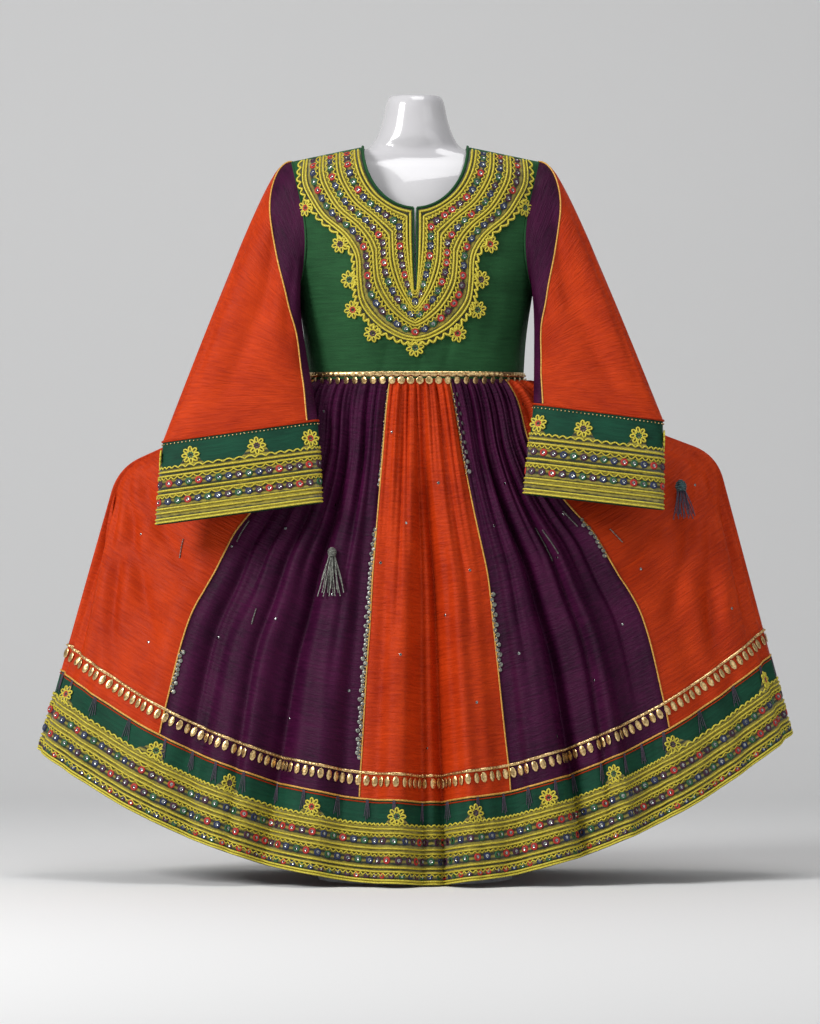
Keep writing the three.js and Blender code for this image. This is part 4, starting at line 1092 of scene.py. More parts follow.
class Wardrobe:
    """Adds pieces to the scene and gives them their finish."""

    def __init__(self) -> None:
        """Prepares the finishes."""
        self.finishes = Finishes()

    def material(self, look: Look) -> bpy.types.Material:
        """The material of a look."""
        if isinstance(look.value, ClothLook):
            return self.finishes.cloth(look.value)
        if isinstance(look.value, StitchLook):
            return self.finishes.stitched(look.value)
        return self.finishes.plain(look.value)

    def add(
        self, name: str, patch: Patch, looks: Sequence[Look], slot: str, stands_for: Sequence[str] = ()
    ) -> bpy.types.Object:
        """Makes one piece of the dressed model.

        Args:
            name: the piece's name.
            patch: its mesh.
            looks: a look for each material slot that its faces use.
            slot: the name of a finish slot; not used.
            stands_for: the solids that it replaces.

        Returns:
            The new object.
        """
        mesh = bpy.data.meshes.new(name)
        mesh.from_pydata((patch.points * MM).tolist(), [], patch.faces)
        for look in looks:
            mesh.materials.append(self.material(look))
        mesh.polygons.foreach_set("material_index", patch.slots.astype(np.int32))
        layer = mesh.uv_layers.new(name=UV_NAME)
        corners = np.empty(len(mesh.loops), np.int32)
        mesh.loops.foreach_get("vertex_index", corners)
        layer.data.foreach_set("uv", patch.uvs[corners].astype(np.float32).reshape(-1))
        mesh.polygons.foreach_set("use_smooth", np.ones(len(mesh.polygons), bool))
        mesh.update()
        piece = bpy.data.objects.new(name, mesh)
        bpy.context.scene.collection.objects.link(piece)
        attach(piece, BODY_NAME)
        if stands_for:
            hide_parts(*stands_for)
        area = sum(polygon.area for polygon in mesh.polygons)
        LOG.info("%s: %d faces, %.4f square metres", name, len(mesh.polygons), area)
        return piece

    def declare(self, piece: bpy.types.Object, with_pieces: Sequence[bpy.types.Object] = ()) -> None:
        """Does nothing: the piece is left as it is."""


@dataclass(frozen=True)
class Trail:
    """A line drawn on a cloth, from share 0 to share 1."""

    cloth: Cloth
    a: Callable[[Array], Array]
    b: Callable[[Array], Array]

    def points(self, shares: Array, out: float) -> Array:
        """Points of the line, moved out from the cloth."""
        return self.cloth.at(self.a(shares), self.b(shares) + 0 * shares, out)

    def normals(self, shares: Array) -> Array:
        """The cloth's normals along the line."""
        a, b = np.broadcast_arrays(self.a(shares), self.b(shares) + 0 * shares)
        return self.cloth.normal(np.array(a, float), np.array(b, float))

    def even(self, spacing: float, centred: bool = True) -> Array:
        """Shares that lie evenly along the line.

        Args:
            spacing: the distance between them.
            centred: whether the ends are left half a space.

        Returns:
            The shares.
        """
        fine = np.linspace(0, 1, 900)
        steps = np.linalg.norm(np.diff(self.points(fine, 0.0), axis=0), axis=1)
        length = np.concatenate([[0], np.cumsum(steps)])
        count = max(int(round(length[-1] / spacing)), 2)
        marks = (np.arange(count) + 0.5) / count if centred else np.linspace(0, 1, count + 1)
        return np.interp(marks * length[-1], length, fine)

    def cord(self, out: float, radius: float, spacing: float = 5.0, sides: int = 4, slot: int = 0) -> Patch:
        """A cord laid along the line."""
        shares = self.even(spacing, centred=False)
        return tube_patch(self.points(shares, out), self.normals(shares), radius, sides, slot=slot)

    def dots(self, template: Patch, spacing: float, out: float, colours: int = 0, skip: int = 0) -> Patch:
        """Copies of a small patch laid along the line.

        Args:
            template: the patch.
            spacing: the distance between copies.
            out: how far they stand off the cloth.
            colours: how many ring colours take turns, or 0 for none.
            skip: how far the turn of colours is moved on.

        Returns:
            The joined copies.
        """
        shares = self.even(spacing)
        places = self.points(shares, out)
        after, before = np.minimum(shares + 0.001, 1), np.maximum(shares - 0.001, 0)
        ahead = self.points(after, out) - self.points(before, out)
        order = np.arange(len(shares)) + skip
        slots = 1 + (order * 7 // 3 + order // 5) % colours if colours else None
        return scattered(template, places, ahead, self.normals(shares), slots)


def along(start: float, end: float, wave: float = 0.0, count: float = 0.0) -> Callable[[Array], Array]:
    """A parameter that runs from start to end, with a wave on it."""
    return lambda share: lerp(start, end, share) + wave * np.sin(2 * math.pi * count * share)


def loops(level: float, height: float, count: float) -> Callable[[Array], Array]:
    """A parameter that makes rounded loops away from a level."""
    return lambda share: level + height * np.abs(np.sin(math.pi * count * share))


MIRROR_LOOKS = (Look.GLASS, *RING_LOOKS, Look.LEMON, Look.STITCH)
GROUND_OUT = 3.5

# Rows of work, as shares from a piece's upper or inner edge. Mirror rows also give the first colour.
YOKE_CORD_ROWS = (0.045, 0.105, 0.345, 0.4, 0.615, 0.67, 0.885)
YOKE_ZIGZAG_ROWS = (0.13, 0.42, 0.69)
YOKE_FINE_ROWS = (0.32, 0.59)
YOKE_MIRROR_ROWS = ((0.23, 0), (0.5, 2), (0.775, 1))
YOKE_ZIGZAGS = 74
YOKE_SCALLOPS = 62
BAND_CORD_ROWS = (0.35, 0.4, 0.58, 0.63, 0.805, 0.855)
BAND_ZIGZAG_ROWS = (0.41, 0.64)
BAND_HEM_ROWS = (0.955, 0.985)
BAND_MIRROR_ROWS = ((0.49, 0), (0.72, 3))
BAND_ZIGZAGS = 170
BAND_FLOWERS = 10
BAND_CORDS_OUT = 2.9
CUFF_CORD_ROWS = (0.39, 0.44, 0.61, 0.66, 0.825, 0.875)
CUFF_ZIGZAG_ROWS = (0.45, 0.67)
CUFF_HEM_ROWS = (0.945, 0.985)
CUFF_MIRROR_ROWS = ((0.53, 1), (0.745, 2))
CUFF_ZIGZAGS = 46
CUFF_FLOWERS = 7

WAIST_COINS = 64
WAIST_COIN_SIZE = 1.75
SKIRT_BRAID_TOP = 0.7815
SKIRT_BRAID_FOOT = 0.7875
SKIRT_DROP_LEVEL = 0.8
LOOSE_SEQUINS = 90
LOOSE_SEQUIN_SIZE = 0.62
STRAND_GROUPS = 56
# Column, level and length in millimetres of each short silver chain.
SILVER_CHAINS = (
    (44.6, 0.34, 60), (45.3, 0.35, 46), (49.8, 0.33, 34), (51.6, 0.41, 30), (9.6, 0.36, 40), (7.2, 0.46, 30),
    (14.1, 0.52, 26), (75.4, 0.34, 60), (68.4, 0.41, 30), (105.9, 0.52, 26), (112.8, 0.46, 30),
)

SKIRT_PANELS = (
    ("skirt_side_front_left", 0, 9, Look.ORANGE, "orange_silk"),
    ("skirt_front_left", 9, 24, Look.PURPLE, "purple_silk"),
    ("skirt_front_centre", 24, 36, Look.ORANGE, "orange_silk"),
    ("skirt_front_right", 36, 51, Look.PURPLE, "purple_silk"),
    ("skirt_side_front_right", 51, 60, Look.ORANGE, "orange_silk"),
    ("skirt_side_back_right", 60, 69, Look.ORANGE, "orange_silk"),
    ("skirt_back_right", 69, 84, Look.PURPLE, "purple_silk"),
    ("skirt_back_centre", 84, 96, Look.ORANGE, "orange_silk"),
    ("skirt_back_left", 96, 111, Look.PURPLE, "purple_silk"),
    ("skirt_side_back_left", 111, 120, Look.ORANGE, "orange_silk"),
)
SKIRT_SEAMS = (9, 24, 36, 51, 69, 84, 96, 111)
# Seam, side of it, and the levels between which a strip of beads and spangles runs.
SEAM_STRIPS = (
    (24, -1, 0.02, 0.22), (24, -1, 0.3, 0.76), (36, 1, 0.03, 0.2), (36, 1, 0.44, 0.6), (9, 1, 0.66, 0.75),
    (51, -1, 0.36, 0.46), (96, 1, 0.02, 0.22), (96, 1, 0.3, 0.76), (84, -1, 0.03, 0.2),
)


@dataclass
class Work:
    """An embroidered piece: its cotton, its stitched ground and what is sewn on them."""

    cotton: Patch
    ground: Patch
    cords: list[Patch]
    edges: list[Patch]
    mirrors: list[Patch]
    piping: list[Patch]
    piping_looks: tuple[Look, ...]


@dataclass(frozen=True)
class TasselShape:
    """Where a tassel hangs and how big it is."""

    name: str
    column: float
    level: float
    off: float
    length: float
    spread: float
    radius: float
    head: Look
    strand: Look


# Size and height of each ring of beads on a tassel's head, as shares of its radius.
TASSEL_RINGS = ((0.45, 0.95), (0.8, 0.6), (0.98, 0.2), (1.0, -0.2), (0.92, -0.6), (0.8, -0.95))
TASSEL_CORE = [(0.3, -1), (0.78, -0.95), (0.95, -0.3), (0.9, 0.3), (0.6, 0.8), (0.2, 1.0)]
TASSEL_STRANDS = 15
TASSELS = (
    TasselShape("tassel_front_left", 19.6, 0.366, 8.4, 62, 15, 6.5, Look.SILVER, Look.SILVER),
    TasselShape("tassel_front_right", 55.2, 0.42, 9.3, 46, 11, 8.5, Look.TEAL, Look.THREAD),
    TasselShape("tassel_back_right", 64.8, 0.42, 9.3, 46, 11, 8.5, Look.TEAL, Look.THREAD),
    TasselShape("tassel_back_left", 100.4, 0.366, 8.4, 62, 15, 6.5, Look.SILVER, Look.SILVER),
)


class Dress:
    """Builds the dress and the form, piece by piece."""

    def __init__(self, wardrobe: Wardrobe) -> None:
        """Prepares the surfaces.

        Args:
            wardrobe: adds the pieces to the scene.
        """
        self.wardrobe = wardrobe
        self.skirt = Skirt()
        self.smooth_skirt = Skirt(creased=False)
        self.yoke = Yoke()

    def build(self) -> None:
        """Builds every piece."""
        self.form()
        self.bodice()
        self.yoke_work()
        self.waist()
        self.panels()
        self.band()
        self.skirt_trims()
        for shape in SLEEVES:
            self.sleeve(shape)
            self.cuff_work(shape)
        for tassel in TASSELS:
            self.tassel(tassel)

    def form(self) -> None:
        """The smooth plastic form, and the stand's finish."""
        half_width = Table([(z, width) for z, width, _ in FORM_ROWS])
        half_depth = Table([(z, depth) for z, _, depth in FORM_ROWS])

        def place(u: Array, v: Array) -> tuple[Array, Array]:
            """The form's surface: round it by u, and up it by v, closed at both ends."""
            turn = 2 * math.pi * u
            body = clamp((v - 0.04) / 0.92, 0, 1)
            z = lerp(FORM_ROWS[0][0], FORM_ROWS[-1][0], body)
            closing = np.where(v < 0.04, v / 0.04, np.where(v > 0.96, (1 - v) / 0.04, 1.0))
            soft = np.sin(0.5 * math.pi * clamp(closing, 0, 1)) ** 0.5
            z = z + 2.5 * (1 - closing) * np.where(v > 0.5, 1, -1) * np.minimum(closing + 0.4, 1)
            points = stack(half_width(z) * soft * np.cos(turn), half_depth(z) * soft * np.sin(turn), z)
            return points, stack(u * 0.9, v * 0.65, 0)[:, :2]

        shell = surface_patch(112, 150, place)
        self.wardrobe.add("form_shell", shell, [Look.FORM], "dress_form", ["dress_form"])
        for name in ("stand_base", "stand_post"):
            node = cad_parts[name]
            for holder in node.material_slots:
                holder.material = self.wardrobe.material(Look.STEEL)

    def bodice(self) -> None:
        """The two cotton faces of the bodice, the neck binding and the seams."""
        wardrobe = self.wardrobe

        def face_patch(face: int, drop: float, half: int) -> Patch:
            """One half of a face, below a neckline of the given drop."""
            cloth = BodiceFace(face, creased=True)

            def place(u: Array, v: Array) -> tuple[Array, Array]:
                """The half's surface: along its upper edge by u, and down by v."""
                on_shoulder = clamp((0.22 - u) / 0.22, 0, 1)
                turn = math.radians(90) * (1 - clamp((u - 0.22) / 0.78, 0, 1))
                shoulder_x = lerp(NECK_HALF_WIDTH, SHOULDER_HALF_WIDTH, on_shoulder)
                top_x = np.where(u < 0.22, shoulder_x, NECK_HALF_WIDTH * np.sin(turn))
                top_z = np.where(u < 0.22, shoulder_z(shoulder_x), NECK_POINT_Z - drop * np.cos(turn))
                z = lerp(top_z, WAIST_Z, v**1.5)
                x = top_x / edge_half_width(top_z) * edge_half_width(z)
                if face < 0:
                    x = np.maximum(x, SLIT_HALF_WIDTH * smoothstep(z, 905, 912))
                x = half * x
                return cloth.at(x, z, 1.3), stack(x * MM, z * MM, 0)[:, :2]

            return surface_patch(52, 84, place)

        for name, face, drop in (("bodice_front", -1, FRONT_NECK_DROP), ("bodice_back", 1, BACK_NECK_DROP)):
            patch = Patch.joined([face_patch(face, drop, -1), face_patch(face, drop, 1)])
            piece = wardrobe.add(f"{name}_cloth", patch, [Look.GREEN], "bodice_green", [name])
            wardrobe.declare(piece)

        trims = []
        for face, drop in ((-1, FRONT_NECK_DROP), (1, BACK_NECK_DROP)):
            cloth = BodiceFace(face)
            for sign in (-1, 1):
                first = 2.0 if face < 0 else 0.0

                def neck_x(t: Array, sign: int = sign, first: float = first) -> Array:
                    """The neck edge's distance from the middle."""
                    return sign * NECK_HALF_WIDTH * np.sin(np.radians(lerp(first, 90, t)))

                def neck_z(t: Array, drop: float = drop, first: float = first) -> Array:
                    """The neck edge's height."""
                    return NECK_POINT_Z - drop * np.cos(np.radians(lerp(first, 90, t)))

                trims.append(Trail(cloth, neck_x, neck_z).cord(1.6, 2.1, 5, 7))
        front = BodiceFace(-1)
        for sign in (-1, 1):
            trims.append(Trail(front, along(sign * 2.6, sign * 2.6), along(1032, 912)).cord(1.8, 1.5, 6, 6))
        trims.append(Trail(front, along(-2.6, 2.6), loops(912, -4, 1)).cord(1.8, 1.5, 1.2, 6))
        seam = along(905, 773)
        for sign in (-1, 1):
            side = Trail(front, lambda t, sign=sign: sign * edge_half_width(seam(t)), seam)
            trims.append(side.cord(0.2, 1.2, 8, 5))
        wardrobe.add("neck_binding_cord", Patch.joined(trims), [Look.GREEN], "bodice_green", ["neck_binding"])

    def flowers(self, cloth: Cloth, a: Array, b: Array, out: float, lean: float) -> Patch:
        """Flowers on a cloth, with their colours in turn.

        Args:
            cloth: what they are sewn on.
            a: the first parameter of each.
            b: the second parameter of each.
            out: their distance from it.
            lean: how far they are turned.

        Returns:
            One joined patch.
        """
        sides = np.tile([1.0, 0.0, lean], (len(a), 1))
        return scattered(FLOWER, cloth.at(a, b, out), sides, cloth.normal(a, b), 1 + np.arange(len(a)) % 3)

    def yoke_work(self) -> None:
        """The yoke's stitched ground, its couched cords, and its mirrors."""
        yoke, wardrobe = self.yoke, self.wardrobe

        def place(u: Array, v: Array) -> tuple[Array, Array]:
            """The ground: round the neck by u, and out to the scallops and tabs by v."""
            a = 2 * u - 1
            share = 1 - np.abs(a)
            tab = sum(1 - smoothstep(np.abs(share - at), 0, 0.034) for at in (*YOKE_TAB_SHARES, 1.0))
            scallop = 0.02 * np.abs(np.sin(math.pi * YOKE_SCALLOPS * u))
            b = v * (1 + 0.14 * tab + scallop)
            out = np.where((v < 0.01) | (v > 0.985), 1.5, GROUND_OUT)
            return yoke.at(a, b, out), stack(a * 0.42, b * 0.085, 0)[:, :2]

        slot = "yoke_embroidery"
        stitched = surface_patch(420, 44, place)
        ground = wardrobe.add("yoke_ground", stitched, [Look.STITCH], slot, ["yoke_panel"])

        def line(b: float, wave: float = 0.0, count: float = 0.0) -> Trail:
            """A row round the neck, with loops away from it."""
            return Trail(yoke, along(-0.999, 0.999), loops(b, wave, count))

        out = GROUND_OUT + 0.9
        cords = [line(b).cord(out, 1.7, 5) for b in YOKE_CORD_ROWS]
        cords += [line(b, 0.045, YOKE_ZIGZAGS).cord(out, 1.2, 2.2) for b in YOKE_ZIGZAG_ROWS]
        lemon = [line(0.965, 0.06, YOKE_SCALLOPS).cord(out - 0.3, 1.8, 2.4), line(0.935).cord(out, 1.5, 5)]
        lemon += [line(b, -0.045, YOKE_ZIGZAGS).cord(out, 0.9, 2.2) for b in YOKE_FINE_ROWS]
        gold = wardrobe.add("yoke_cords", Patch.joined(cords), [Look.CORD], slot)
        bright = wardrobe.add("yoke_edge_cords", Patch.joined(lemon), [Look.LEMON], slot)
        dots = [line(b).dots(MIRROR, 15.0, GROUND_OUT, 4, skip) for b, skip in YOKE_MIRROR_ROWS]
        tabs = np.array([s * (1 - at) for at in YOKE_TAB_SHARES for s in (-1, 1)] + [0.0])
        dots.append(self.flowers(yoke, tabs, np.full(len(tabs), 1.07), 2.6, 0.2))
        mirrors = wardrobe.add("yoke_mirrors", Patch.joined(dots), MIRROR_LOOKS, slot)
        wardrobe.declare(ground, [gold, bright, mirrors])

    def waist(self) -> None:
        """The metal braid round the waist and the drops that hang from it."""

        def ring(turn: Array, z: Array, out: Array) -> Array:
            """Points round the waist."""
            across, deep = np.sin(turn), -np.cos(turn)
            power = 2 / BODY_POWER
            depth = np.where(deep < 0, BODY_FRONT(z), BODY_BACK(z)) + out
            x = (BODY_WIDTH(z) + out) * np.sign(across) * np.abs(across) ** power
            return stack(x, depth * np.sign(deep) * np.abs(deep) ** power, z)

        def place(u: Array, v: Array) -> tuple[Array, Array]:
            """The braid's rounded face, with its twist."""
            turn = 2 * math.pi * u
            twist = 0.35 * np.sin(2 * math.pi * 90 * u)
            out = 1.6 + 2.0 * np.sin(math.pi * clamp(v, 0.02, 0.98)) ** 0.5 + twist
            return ring(turn, lerp(774.5, 782.0, v), out), stack(u * 0.87, v * 0.01, 0)[:, :2]

        count = WAIST_COINS
        even = np.ones(count)
        fine = np.linspace(0, 2 * math.pi, 2001)
        steps = np.linalg.norm(np.diff(ring(fine, 770 + 0 * fine, 0 * fine), axis=0), axis=1)
        length = np.concatenate([[0], np.cumsum(steps)])
        turns = np.interp((np.arange(count) + 0.5) / count * length[-1], length, fine)
        outward = unit(ring(turns, 770 * even, even) * np.array([1.0, 1.0, 0.0]))
        sideways = np.cross(outward, np.array([0.0, 0.0, 1.0]))
        centres = ring(turns, 768.5 * even, 6.0 * even)
        coins = scattered(SEQUIN, centres, sideways, outward)
        centres = centres.repeat(len(SEQUIN.points), axis=0)
        coins.points = centres + (coins.points - centres) * WAIST_COIN_SIZE
        beads = scattered(BEAD, ring(turns, 777.6 * even, 4.4 * even), sideways, outward)
        patch = Patch.joined([surface_patch(360, 6, place), coins, beads])
        self.wardrobe.add("waist_trim", patch, [Look.BRAID], "gold_braid", ["waist_braid"])

    def panels(self) -> None:
        """The ten silk panels of the skirt, and the piping on their seams."""
        for name, first, last, look, slot in SKIRT_PANELS:

            def place(u: Array, v: Array, first: int = first, last: int = last) -> tuple[Array, Array]:
                """One panel: from seam to seam by u, and down to the hem band by v."""
                column, level = lerp(first, last, u), BAND_LEVEL * v
                return self.skirt.at(column, level, 0.6), stack(column * 0.024, level * 0.777, 0)[:, :2]

            panel = surface_patch((last - first) * 7, 110, place)
            piece = self.wardrobe.add(f"{name}_cloth", panel, [look], slot, [name])
            self.wardrobe.declare(piece)
        cords = [
            Trail(self.skirt, along(seam, seam), along(0.004, BAND_LEVEL - 0.002)).cord(1.4, 1.3, 6, 5)
            for seam in SKIRT_SEAMS
        ]
        self.wardrobe.add("skirt_seam_piping", Patch.joined(cords), [Look.PIPING], "gold_braid")

    def band_level(self, share: Array | float) -> Array:
        """The skirt level at a share of the hem band, from its top to the hem."""
        return BAND_LEVEL + share * (1 - BAND_LEVEL)

    def embroidered(self, name: str, work: Work) -> None:
        """Adds an embroidered piece: its cotton and what is sewn on it.

        Args:
            name: the solid that it stands for.
            work: its cotton and what is sewn on it.
        """
        slot = "embroidered_green"
        cotton = self.wardrobe.add(f"{name}_cloth", work.cotton, [Look.BAND], slot, [name])
        extra = [
            self.wardrobe.add(f"{name}_ground", work.ground, [Look.STITCH], slot),
            self.wardrobe.add(f"{name}_cords", Patch.joined(work.cords), [Look.CORD], slot),
            self.wardrobe.add(f"{name}_edges", Patch.joined(work.edges), [Look.LEMON], slot),
            self.wardrobe.add(f"{name}_mirrors", Patch.joined(work.mirrors), MIRROR_LOOKS, slot),
            self.wardrobe.add(f"{name}_piping", Patch.joined(work.piping), work.piping_looks, "gold_braid"),
        ]
        self.wardrobe.declare(cotton, extra)

    def band(self) -> None:
        """The hem band: green cotton, stitched ground, cords, mirrors and flowers."""
        for name, first in (("hem_band_front", 0), ("hem_band_back", HALF_COLUMNS)):
            last = first + HALF_COLUMNS

            def line(share: float, wave: float = 0.0, count: float = 0.0, first: int = first) -> Trail:
                """A row along the band, with loops away from it."""
                rows = loops(share, wave, count)
                across = along(first, first + HALF_COLUMNS)
                return Trail(self.skirt, across, lambda t: self.band_level(rows(t)))

            def green(u: Array, v: Array, first: int = first, last: int = last) -> tuple[Array, Array]:
                """The cotton: along the band by u, and down to the hem by v."""
                column, level = lerp(first, last, u), self.band_level(v)
                return self.skirt.at(column, level, 0.7), stack(column * 0.026, level * 0.777, 0)[:, :2]

            def gold(u: Array, v: Array, first: int = first, last: int = last) -> tuple[Array, Array]:
                """The stitched ground: along the band by u, and from its scalloped edge down by v."""
                column = lerp(first, last, u)
                spacing = HALF_COLUMNS / BAND_FLOWERS
                off = np.abs(np.mod(column, spacing) - spacing / 2)
                scallop = 0.015 * np.abs(np.sin(math.pi * BAND_ZIGZAGS * u))
                edge = 0.3 - 0.13 * (1 - smoothstep(off, 0.1, 1.0)) - scallop
                share = lerp(edge, 1.0, v)
                points = self.skirt.at(column, self.band_level(share), np.where(v < 0.005, 0.8, 2.1))
                return points, stack(column * 0.026, share * 0.128, 0)[:, :2]

            columns = first + HALF_COLUMNS / BAND_FLOWERS * (np.arange(BAND_FLOWERS) + 0.5)
            out = BAND_CORDS_OUT
            work = Work(
                cotton=surface_patch(420, 22, green),
                ground=surface_patch(480, 26, gold),
                cords=[line(share).cord(out, 1.6, 6) for share in BAND_CORD_ROWS]
                + [line(share, 0.035, BAND_ZIGZAGS).cord(out, 1.1, 2.8) for share in BAND_ZIGZAG_ROWS],
                edges=[line(share).cord(out, 1.5, 6) for share in BAND_HEM_ROWS]
                + [line(0.315, -0.03, BAND_ZIGZAGS).cord(out - 0.5, 1.4, 2.8)]
                + [line(0.865, 0.035, BAND_ZIGZAGS).cord(out, 1.1, 2.8)],
                mirrors=[line(share).dots(MIRROR, 17.0, 2.1, 4, skip) for share, skip in BAND_MIRROR_ROWS]
                + [line(0.905).dots(SMALL_MIRROR, 15.0, 2.1, 4, 1)]
                + [self.flowers(self.skirt, columns, self.band_level(np.full(BAND_FLOWERS, 0.2)), 1.3, 0.0)],
                piping=[line(0.006).cord(1.6, 1.5, 6, 5), line(0.04).cord(1.4, 1.0, 6, 4, slot=1)],
                piping_looks=(Look.PIPING, Look.ORANGE),
            )
            self.embroidered(name, work)

    def skirt_trims(self) -> None:
        """The braid with its drops, the bead strips on two seams, chains, sparks and hanging strands."""
        skirt = self.skirt
        for name, first in (("skirt_braid_front", 0), ("skirt_braid_back", HALF_COLUMNS)):

            def strip(u: Array, v: Array, first: int = first) -> tuple[Array, Array]:
                """The braid's rounded face, with its twist."""
                column, level = first + HALF_COLUMNS * u, lerp(SKIRT_BRAID_TOP, SKIRT_BRAID_FOOT, v)
                twist = 0.3 * np.sin(2 * math.pi * 240 * u)
                out = 1.0 + 1.8 * np.sin(math.pi * clamp(v, 0.02, 0.98)) ** 0.5 + twist
                return skirt.at(column, level, out), stack(column * 0.025, v * 0.012, 0)[:, :2]

            across = along(first, first + HALF_COLUMNS)
            middle = (SKIRT_BRAID_TOP + SKIRT_BRAID_FOOT) / 2
            line = Trail(skirt, across, along(SKIRT_DROP_LEVEL, SKIRT_DROP_LEVEL))
            beads = Trail(skirt, across, along(middle, middle))
            parts = [surface_patch(600, 6, strip), line.dots(DROP, 13.0, 2.4), beads.dots(BEAD, 6.5, 3.2)]
            self.wardrobe.add(f"{name}_trim", Patch.joined(parts), [Look.BRAID], "gold_braid", [name])

        strips, spangles = [], []
        for seam, side, start, end in SEAM_STRIPS:
            count = 70 * (end - start)
            inner, outer = seam + 0.14 * side, seam + 0.26 * side
            down = along(start, end)
            strips.append(Trail(skirt, along(inner, inner, 0.07, count), down).dots(BEAD, 6.2, 2.4))
            spangles.append(Trail(skirt, along(outer, outer, 0.13, 0.7 * count), down).dots(SEQUIN, 8.5, 2.6))
            spangles.append(Trail(skirt, along(inner, inner, 0.1, count), down).dots(BEAD, 4.3, 2.2))
        self.wardrobe.add("seam_bead_strips", Patch.joined(strips), [Look.BRAID], "gold_braid")
        self.wardrobe.add("seam_spangles", Patch.joined(spangles), [Look.SILVER], "tassel_beads")

        chains = []
        for column, level, length in SILVER_CHAINS:
            chain = Trail(skirt, along(column, column + 0.15), along(level, level + length / SKIRT_LENGTH))
            chains.append(chain.dots(BEAD, 2.6, 2.0))
        self.wardrobe.add("silver_chains", Patch.joined(chains), [Look.SILVER], "tassel_beads")

        index = np.arange(LOOSE_SEQUINS)
        columns, levels = (index * 37.77 + 3.1) % SKIRT_COLUMNS, 0.06 + 0.7 * ((index * 0.61803) % 1)
        clear = from_side_fold(columns) > 1.5
        columns, levels = columns[clear], levels[clear]
        sides = np.tile([1.0, 0, 0], (len(columns), 1))
        sparks = scattered(SEQUIN, skirt.at(columns, levels, 0.9), sides, skirt.normal(columns, levels))
        sparks.points = sparks.points.reshape(len(columns), -1, 3)
        middles = sparks.points.mean(axis=1, keepdims=True)
        sparks.points = (middles + (sparks.points - middles) * LOOSE_SEQUIN_SIZE).reshape(-1, 3)
        self.wardrobe.add("loose_sequins", sparks, [Look.GLASS], "gold_braid")

        strands = []
        for k in range(STRAND_GROUPS):
            column = (k + 0.5) * SKIRT_COLUMNS / STRAND_GROUPS
            if from_side_fold(column) < 0.6:
                continue
            for j, shift in enumerate((-0.2, -0.07, 0.06, 0.19)):
                end = 0.878 - 0.004 * ((k + j) % 3)
                trail = Trail(skirt, along(column + 0.3 * shift, column + shift), along(0.836, end))
                strands.append(trail.cord(2.4, 0.6, 7, 4))
        self.wardrobe.add("hem_strands", Patch.joined(strands), [Look.THREAD], "tassel_beads")

    def sleeve(self, shape: SleeveShape) -> None:
        """One sleeve's orange outer panel and purple inner panel, with piping between them."""
        cloth = Sleeve(shape)
        for kind, middle, look in (("outer", 0, Look.ORANGE), ("inner", 180, Look.PURPLE)):

            def place(u: Array, v: Array, middle: int = middle) -> tuple[Array, Array]:
                """One panel: from seam to seam by u, and down the arm by v."""
                seam = SLEEVE_SEAM(v)
                half = seam if middle == 0 else 180 - seam
                angle = middle + half * (2 * u - 1)
                return cloth.at(angle, v, 1.2), stack(angle / 360 * 0.5, v * 0.46, 0)[:, :2]

            name = f"sleeve_{kind}_{shape.name}"
            panel = surface_patch(84, 110, place)
            piece = self.wardrobe.add(f"{name}_cloth", panel, [look], look.value.name, [name])
            self.wardrobe.declare(piece)
        trims = []
        for sign in (-1, 1):
            seam = Trail(cloth, lambda t, sign=sign: sign * SLEEVE_SEAM(t), along(0.0, 0.999))
            trims.append(seam.cord(1.9, 1.3, 5, 5))
        trims.append(Trail(cloth, along(-179, 179), along(0.0, 0.0)).cord(0.1, 1.9, 6, 6, slot=1))
        looks = [Look.PIPING, Look.GREEN]
        self.wardrobe.add(f"sleeve_piping_{shape.name}", Patch.joined(trims), looks, "gold_braid")

    def cuff_work(self, shape: SleeveShape) -> None:
        """One cuff: green cotton, stitched ground, cords, mirrors, flowers, piping and beads."""
        cloth = Cuff(shape)

        def line(share: float, wave: float = 0.0, count: float = 0.0) -> Trail:
            """A row round the cuff, with loops away from it."""
            return Trail(cloth, along(0, 360), loops(share, wave, count))

        def green(u: Array, v: Array) -> tuple[Array, Array]:
            """The cotton: round the cuff by u, and down it by v."""
            return cloth.at(360 * u, v, 1.2), stack(u * 0.5, v * 0.128, 0)[:, :2]

        spacing = 360 / CUFF_FLOWERS

        def gold(u: Array, v: Array) -> tuple[Array, Array]:
            """The stitched ground: round the cuff by u, and from its scalloped edge down by v."""
            off = np.abs(np.mod(360 * u + spacing / 2, spacing) - spacing / 2)
            edge = 0.34 - 0.14 * (1 - smoothstep(off, 2, 13)) - 0.015 * np.abs(np.sin(math.pi * 44 * u))
            share = lerp(edge, 1.0, v)
            points = cloth.at(360 * u, share, np.where(v < 0.01, 1.3, 2.6))
            return points, stack(u * 0.5, share * 0.128, 0)[:, :2]

